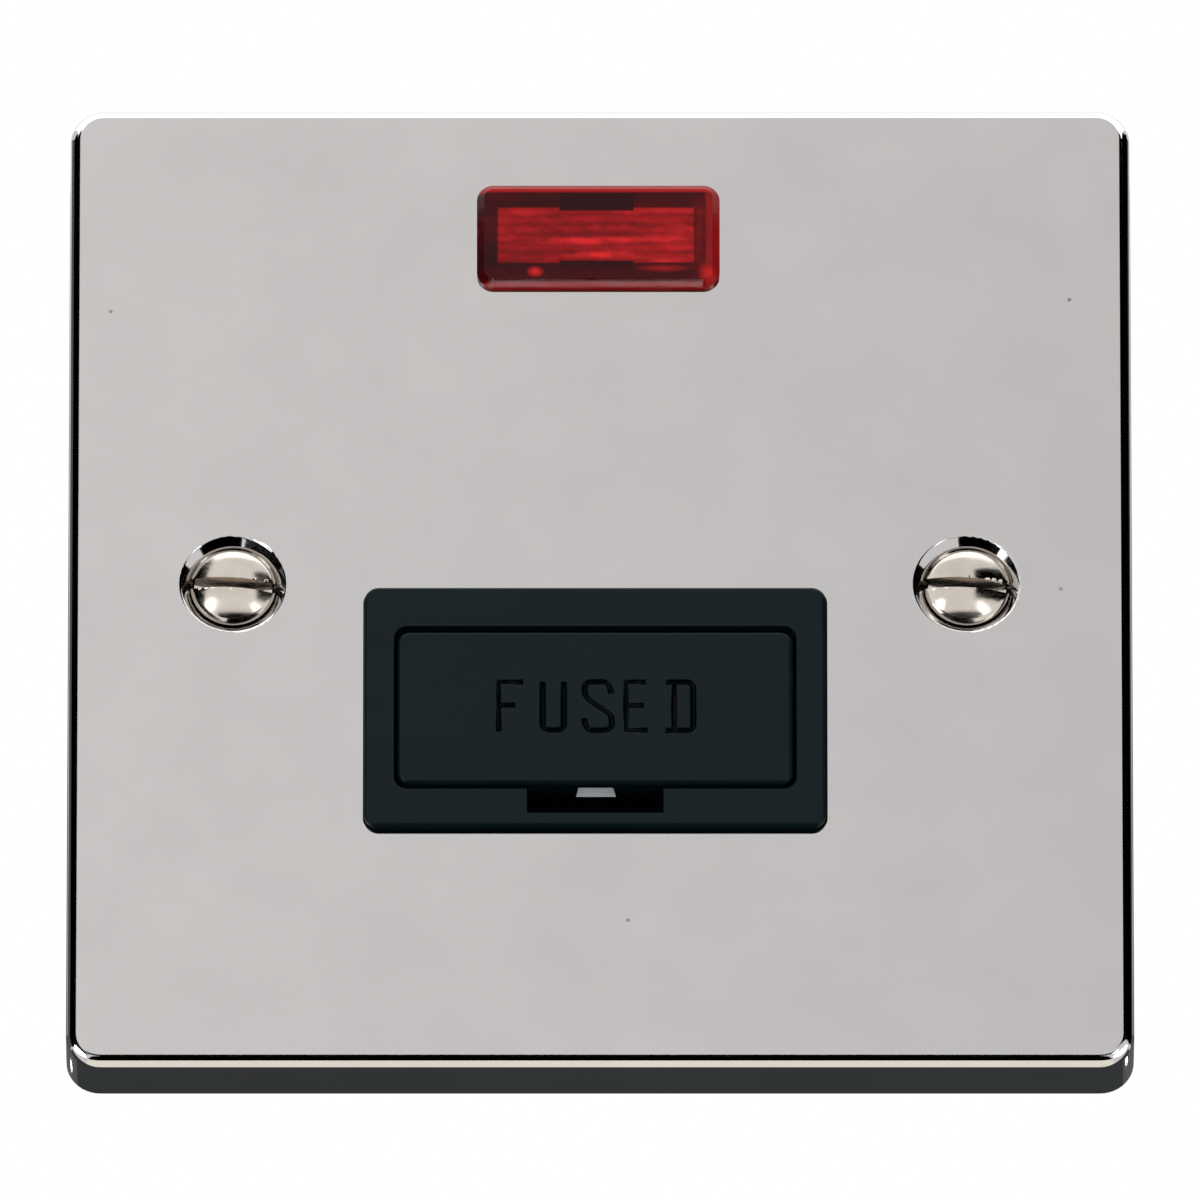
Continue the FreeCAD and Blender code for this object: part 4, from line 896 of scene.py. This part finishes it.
def build_cards():
    """The cards whose reflections give the metal its dark bands, its bright edges and its spots."""
    black = glow("black card", 0.0)
    grey = glow("grey card", 0.06, (0.9, 1.0, 1.05))
    dim = glow("dim card", 0.13)
    pale = glow("pale card", 1.45)
    white = glow("white card", 2.1)
    bright = glow("bright card", 3.2)
    lamp = glow("lamp card", 6.0)
    warm = glow("warm card", 1.3, (1.0, 0.95, 0.86))
    lens_lamp = glow("lens card", 12.0, nearest=0.0065)
    under = UNDERSIDE - CARD_GAP
    left_corner, right_corner = (-0.043, -0.005, -0.043), (0.043, -0.005, -0.043)
    for name, corners, material in (
        ("card_left", facing(-0.19, -0.049, -0.031, -0.048, 0.125, 0.058), black),
        ("card_left_end", facing(-0.6, -0.19, -0.031, -0.06, 0.35, 0.125), dim),
        ("card_left_side", sideways(-0.6, -0.031, 0.3, -0.06, 0.35), dim),
        ("card_left_rear", facing(-0.6, -0.045, 0.3, -0.35, 0.2), dim),
        ("card_right", facing(0.062, 0.6, -0.186, 0.02, 0.175, 0.468), black),
        ("card_right_side", sideways(0.6, -0.186, 0.08, 0.0, 0.468), black),
        ("card_right_end", sideways(0.6, 0.08, 0.3, 0.0, 0.4), dim),
        ("card_right_rear", facing(0.045, 0.6, 0.3, -0.35, 0.2), dim),
        ("card_over", level(-0.062, 0.062, -0.037, -0.004, 0.06), white),
        ("card_over_rear", level(-0.062, 0.062, -0.004, 0.04, 0.06), pale),
        ("card_panel", facing(-0.055, 0.062, -0.3, 0.07, 0.21), panel_glow()),
        ("card_low", facing(-0.066, 0.066, -0.106, -0.044, -0.021), black),
        ("card_line", level(-0.0425, 0.0425, -0.106, -0.0062, under), black),
        # card_lip and card_under stand in for the floor in reflections: card_lip as painted light on the
        # floor by the front edge, card_under as painted shade under the unit
        ("card_lip", level(-0.0425, 0.0425, -0.0062, -0.0046, under), warm),
        ("card_under", level(-0.0637, 0.0637, -0.0046, 0.06, under), grey),
        ("card_lens", level(-0.028, 0.0095, -0.0102, -0.00965, 0.02), lens_lamp),
        ("card_glint_left", round_card((0.0, -0.005, 0.0), -33, -3, 0.58, 13, 7, -45), bright),
        ("card_glint_right", round_card((0.03, -0.005, 0.0), 20, -6, 0.36, 10, 5, 45), bright),
        ("card_spot_left", sideways(-0.05, 0.0127, 0.0139, -0.0396, -0.0381), lamp),
        ("card_spot_right", sideways(0.05, 0.0101, 0.0113, -0.0419, -0.0404), lamp),
        ("card_far_left", round_card((0.0, -0.005, 0.0), -58, -22, 0.6, 20, 12, 40), bright),
        ("card_corner_left", round_card(left_corner, -40, -8, 0.012, 18, 15, 40), lamp),
        ("card_corner_right", round_card(right_corner, 50, -15, 0.012, 25, 19, -39), lamp),
    ):
        stage_card(name, corners, material)


def build_camera(sizes):
    """A camera that looks up at the unit, as the photo's does."""
    data = bpy.data.cameras.new("camera")
    data.sensor_width = SENSOR_WIDTH
    data.lens = SENSOR_WIDTH * sizes.distance / sizes.frame_width
    data.clip_start = 0.1
    data.clip_end = 10 * sizes.distance
    camera = bpy.data.objects.new("camera", data)
    bpy.context.scene.collection.objects.link(camera)
    away = Vector((0, -math.cos(sizes.rise), -math.sin(sizes.rise)))
    camera.location = Vector(sizes.aim) + away * sizes.distance
    camera.rotation_euler = (-away).to_track_quat("-Z", "Y").to_euler()
    bpy.context.scene.camera = camera


class SPUR_OT_stage(Operator):
    """Build the floor, the lamps, the cards that the metal reflects and the camera"""
    bl_idname = "spur_unit.stage"
    bl_label = "Stage"
    bl_options = {"REGISTER", "UNDO"}

    def execute(self, context):
        sizes = context.scene.spur_stage
        shape = bmesh.new()
        bmesh.ops.create_grid(shape, x_segments=1, y_segments=1, size=3.0)
        bmesh.ops.translate(shape, verts=shape.verts, vec=(0, 0, UNDERSIDE - FLOOR_GAP))
        floor = new_piece("floor", mesh_of(shape, "floor"), floor_finish(sizes.floor))
        floor.visible_glossy = False
        floor.visible_shadow = False
        build_world(sizes.fill)
        build_lamp("overhead lamp", (0.3, -0.9, 1.5), (1.6, 1.2), 9.0)
        build_lamp("front lamp", (-0.9, -1.9, 0.5), (1.2, 1.0), 5.0)
        build_lamp("low lamp", (0.0, -1.35, -0.66), (0.3, 0.3), 7.0)
        build_cards()
        build_camera(sizes)
        context.scene.view_settings.view_transform = "Standard"
        return {"FINISHED"}


STEPS = (
    SPUR_OT_front_plate,
    SPUR_OT_mouldings,
    SPUR_OT_word,
    SPUR_OT_fixing_screws,
    SPUR_OT_indicator,
    SPUR_OT_fuse,
    SPUR_OT_terminals,
    SPUR_OT_stage,
)


class SPUR_PT_panel(Panel):
    """Steps that dress the unit, in their order"""
    bl_idname = "SPUR_PT_panel"
    bl_label = "Fused Spur Unit"
    bl_space_type = "VIEW_3D"
    bl_region_type = "UI"
    bl_category = "Spur Unit"

    def draw(self, context):
        for step in STEPS:
            self.layout.operator(step.bl_idname)
        for settings in (context.scene.spur_finishes, context.scene.spur_word, context.scene.spur_screws,
                         context.scene.spur_stage):
            box = self.layout.box()
            for name in settings.__annotations__:
                box.prop(settings, name)


SETTINGS = {
    "spur_finishes": SpurFinishes,
    "spur_word": SpurWord,
    "spur_screws": SpurScrews,
    "spur_stage": SpurStage,
}
CLASSES = (*SETTINGS.values(), *STEPS, SPUR_PT_panel)


def register():
    for cls in CLASSES:
        bpy.utils.register_class(cls)
    for name, group in SETTINGS.items():
        setattr(bpy.types.Scene, name, PointerProperty(type=group))


def unregister():
    for name in SETTINGS:
        delattr(bpy.types.Scene, name)
    for cls in reversed(CLASSES):
        bpy.utils.unregister_class(cls)


def main():
    register()
    for step in (
        bpy.ops.spur_unit.front_plate,
        bpy.ops.spur_unit.mouldings,
        bpy.ops.spur_unit.word,
        bpy.ops.spur_unit.fixing_screws,
        bpy.ops.spur_unit.indicator,
        bpy.ops.spur_unit.fuse,
        bpy.ops.spur_unit.terminals,
        bpy.ops.spur_unit.stage,
    ):
        step()


if __name__ == "__main__":
    main()
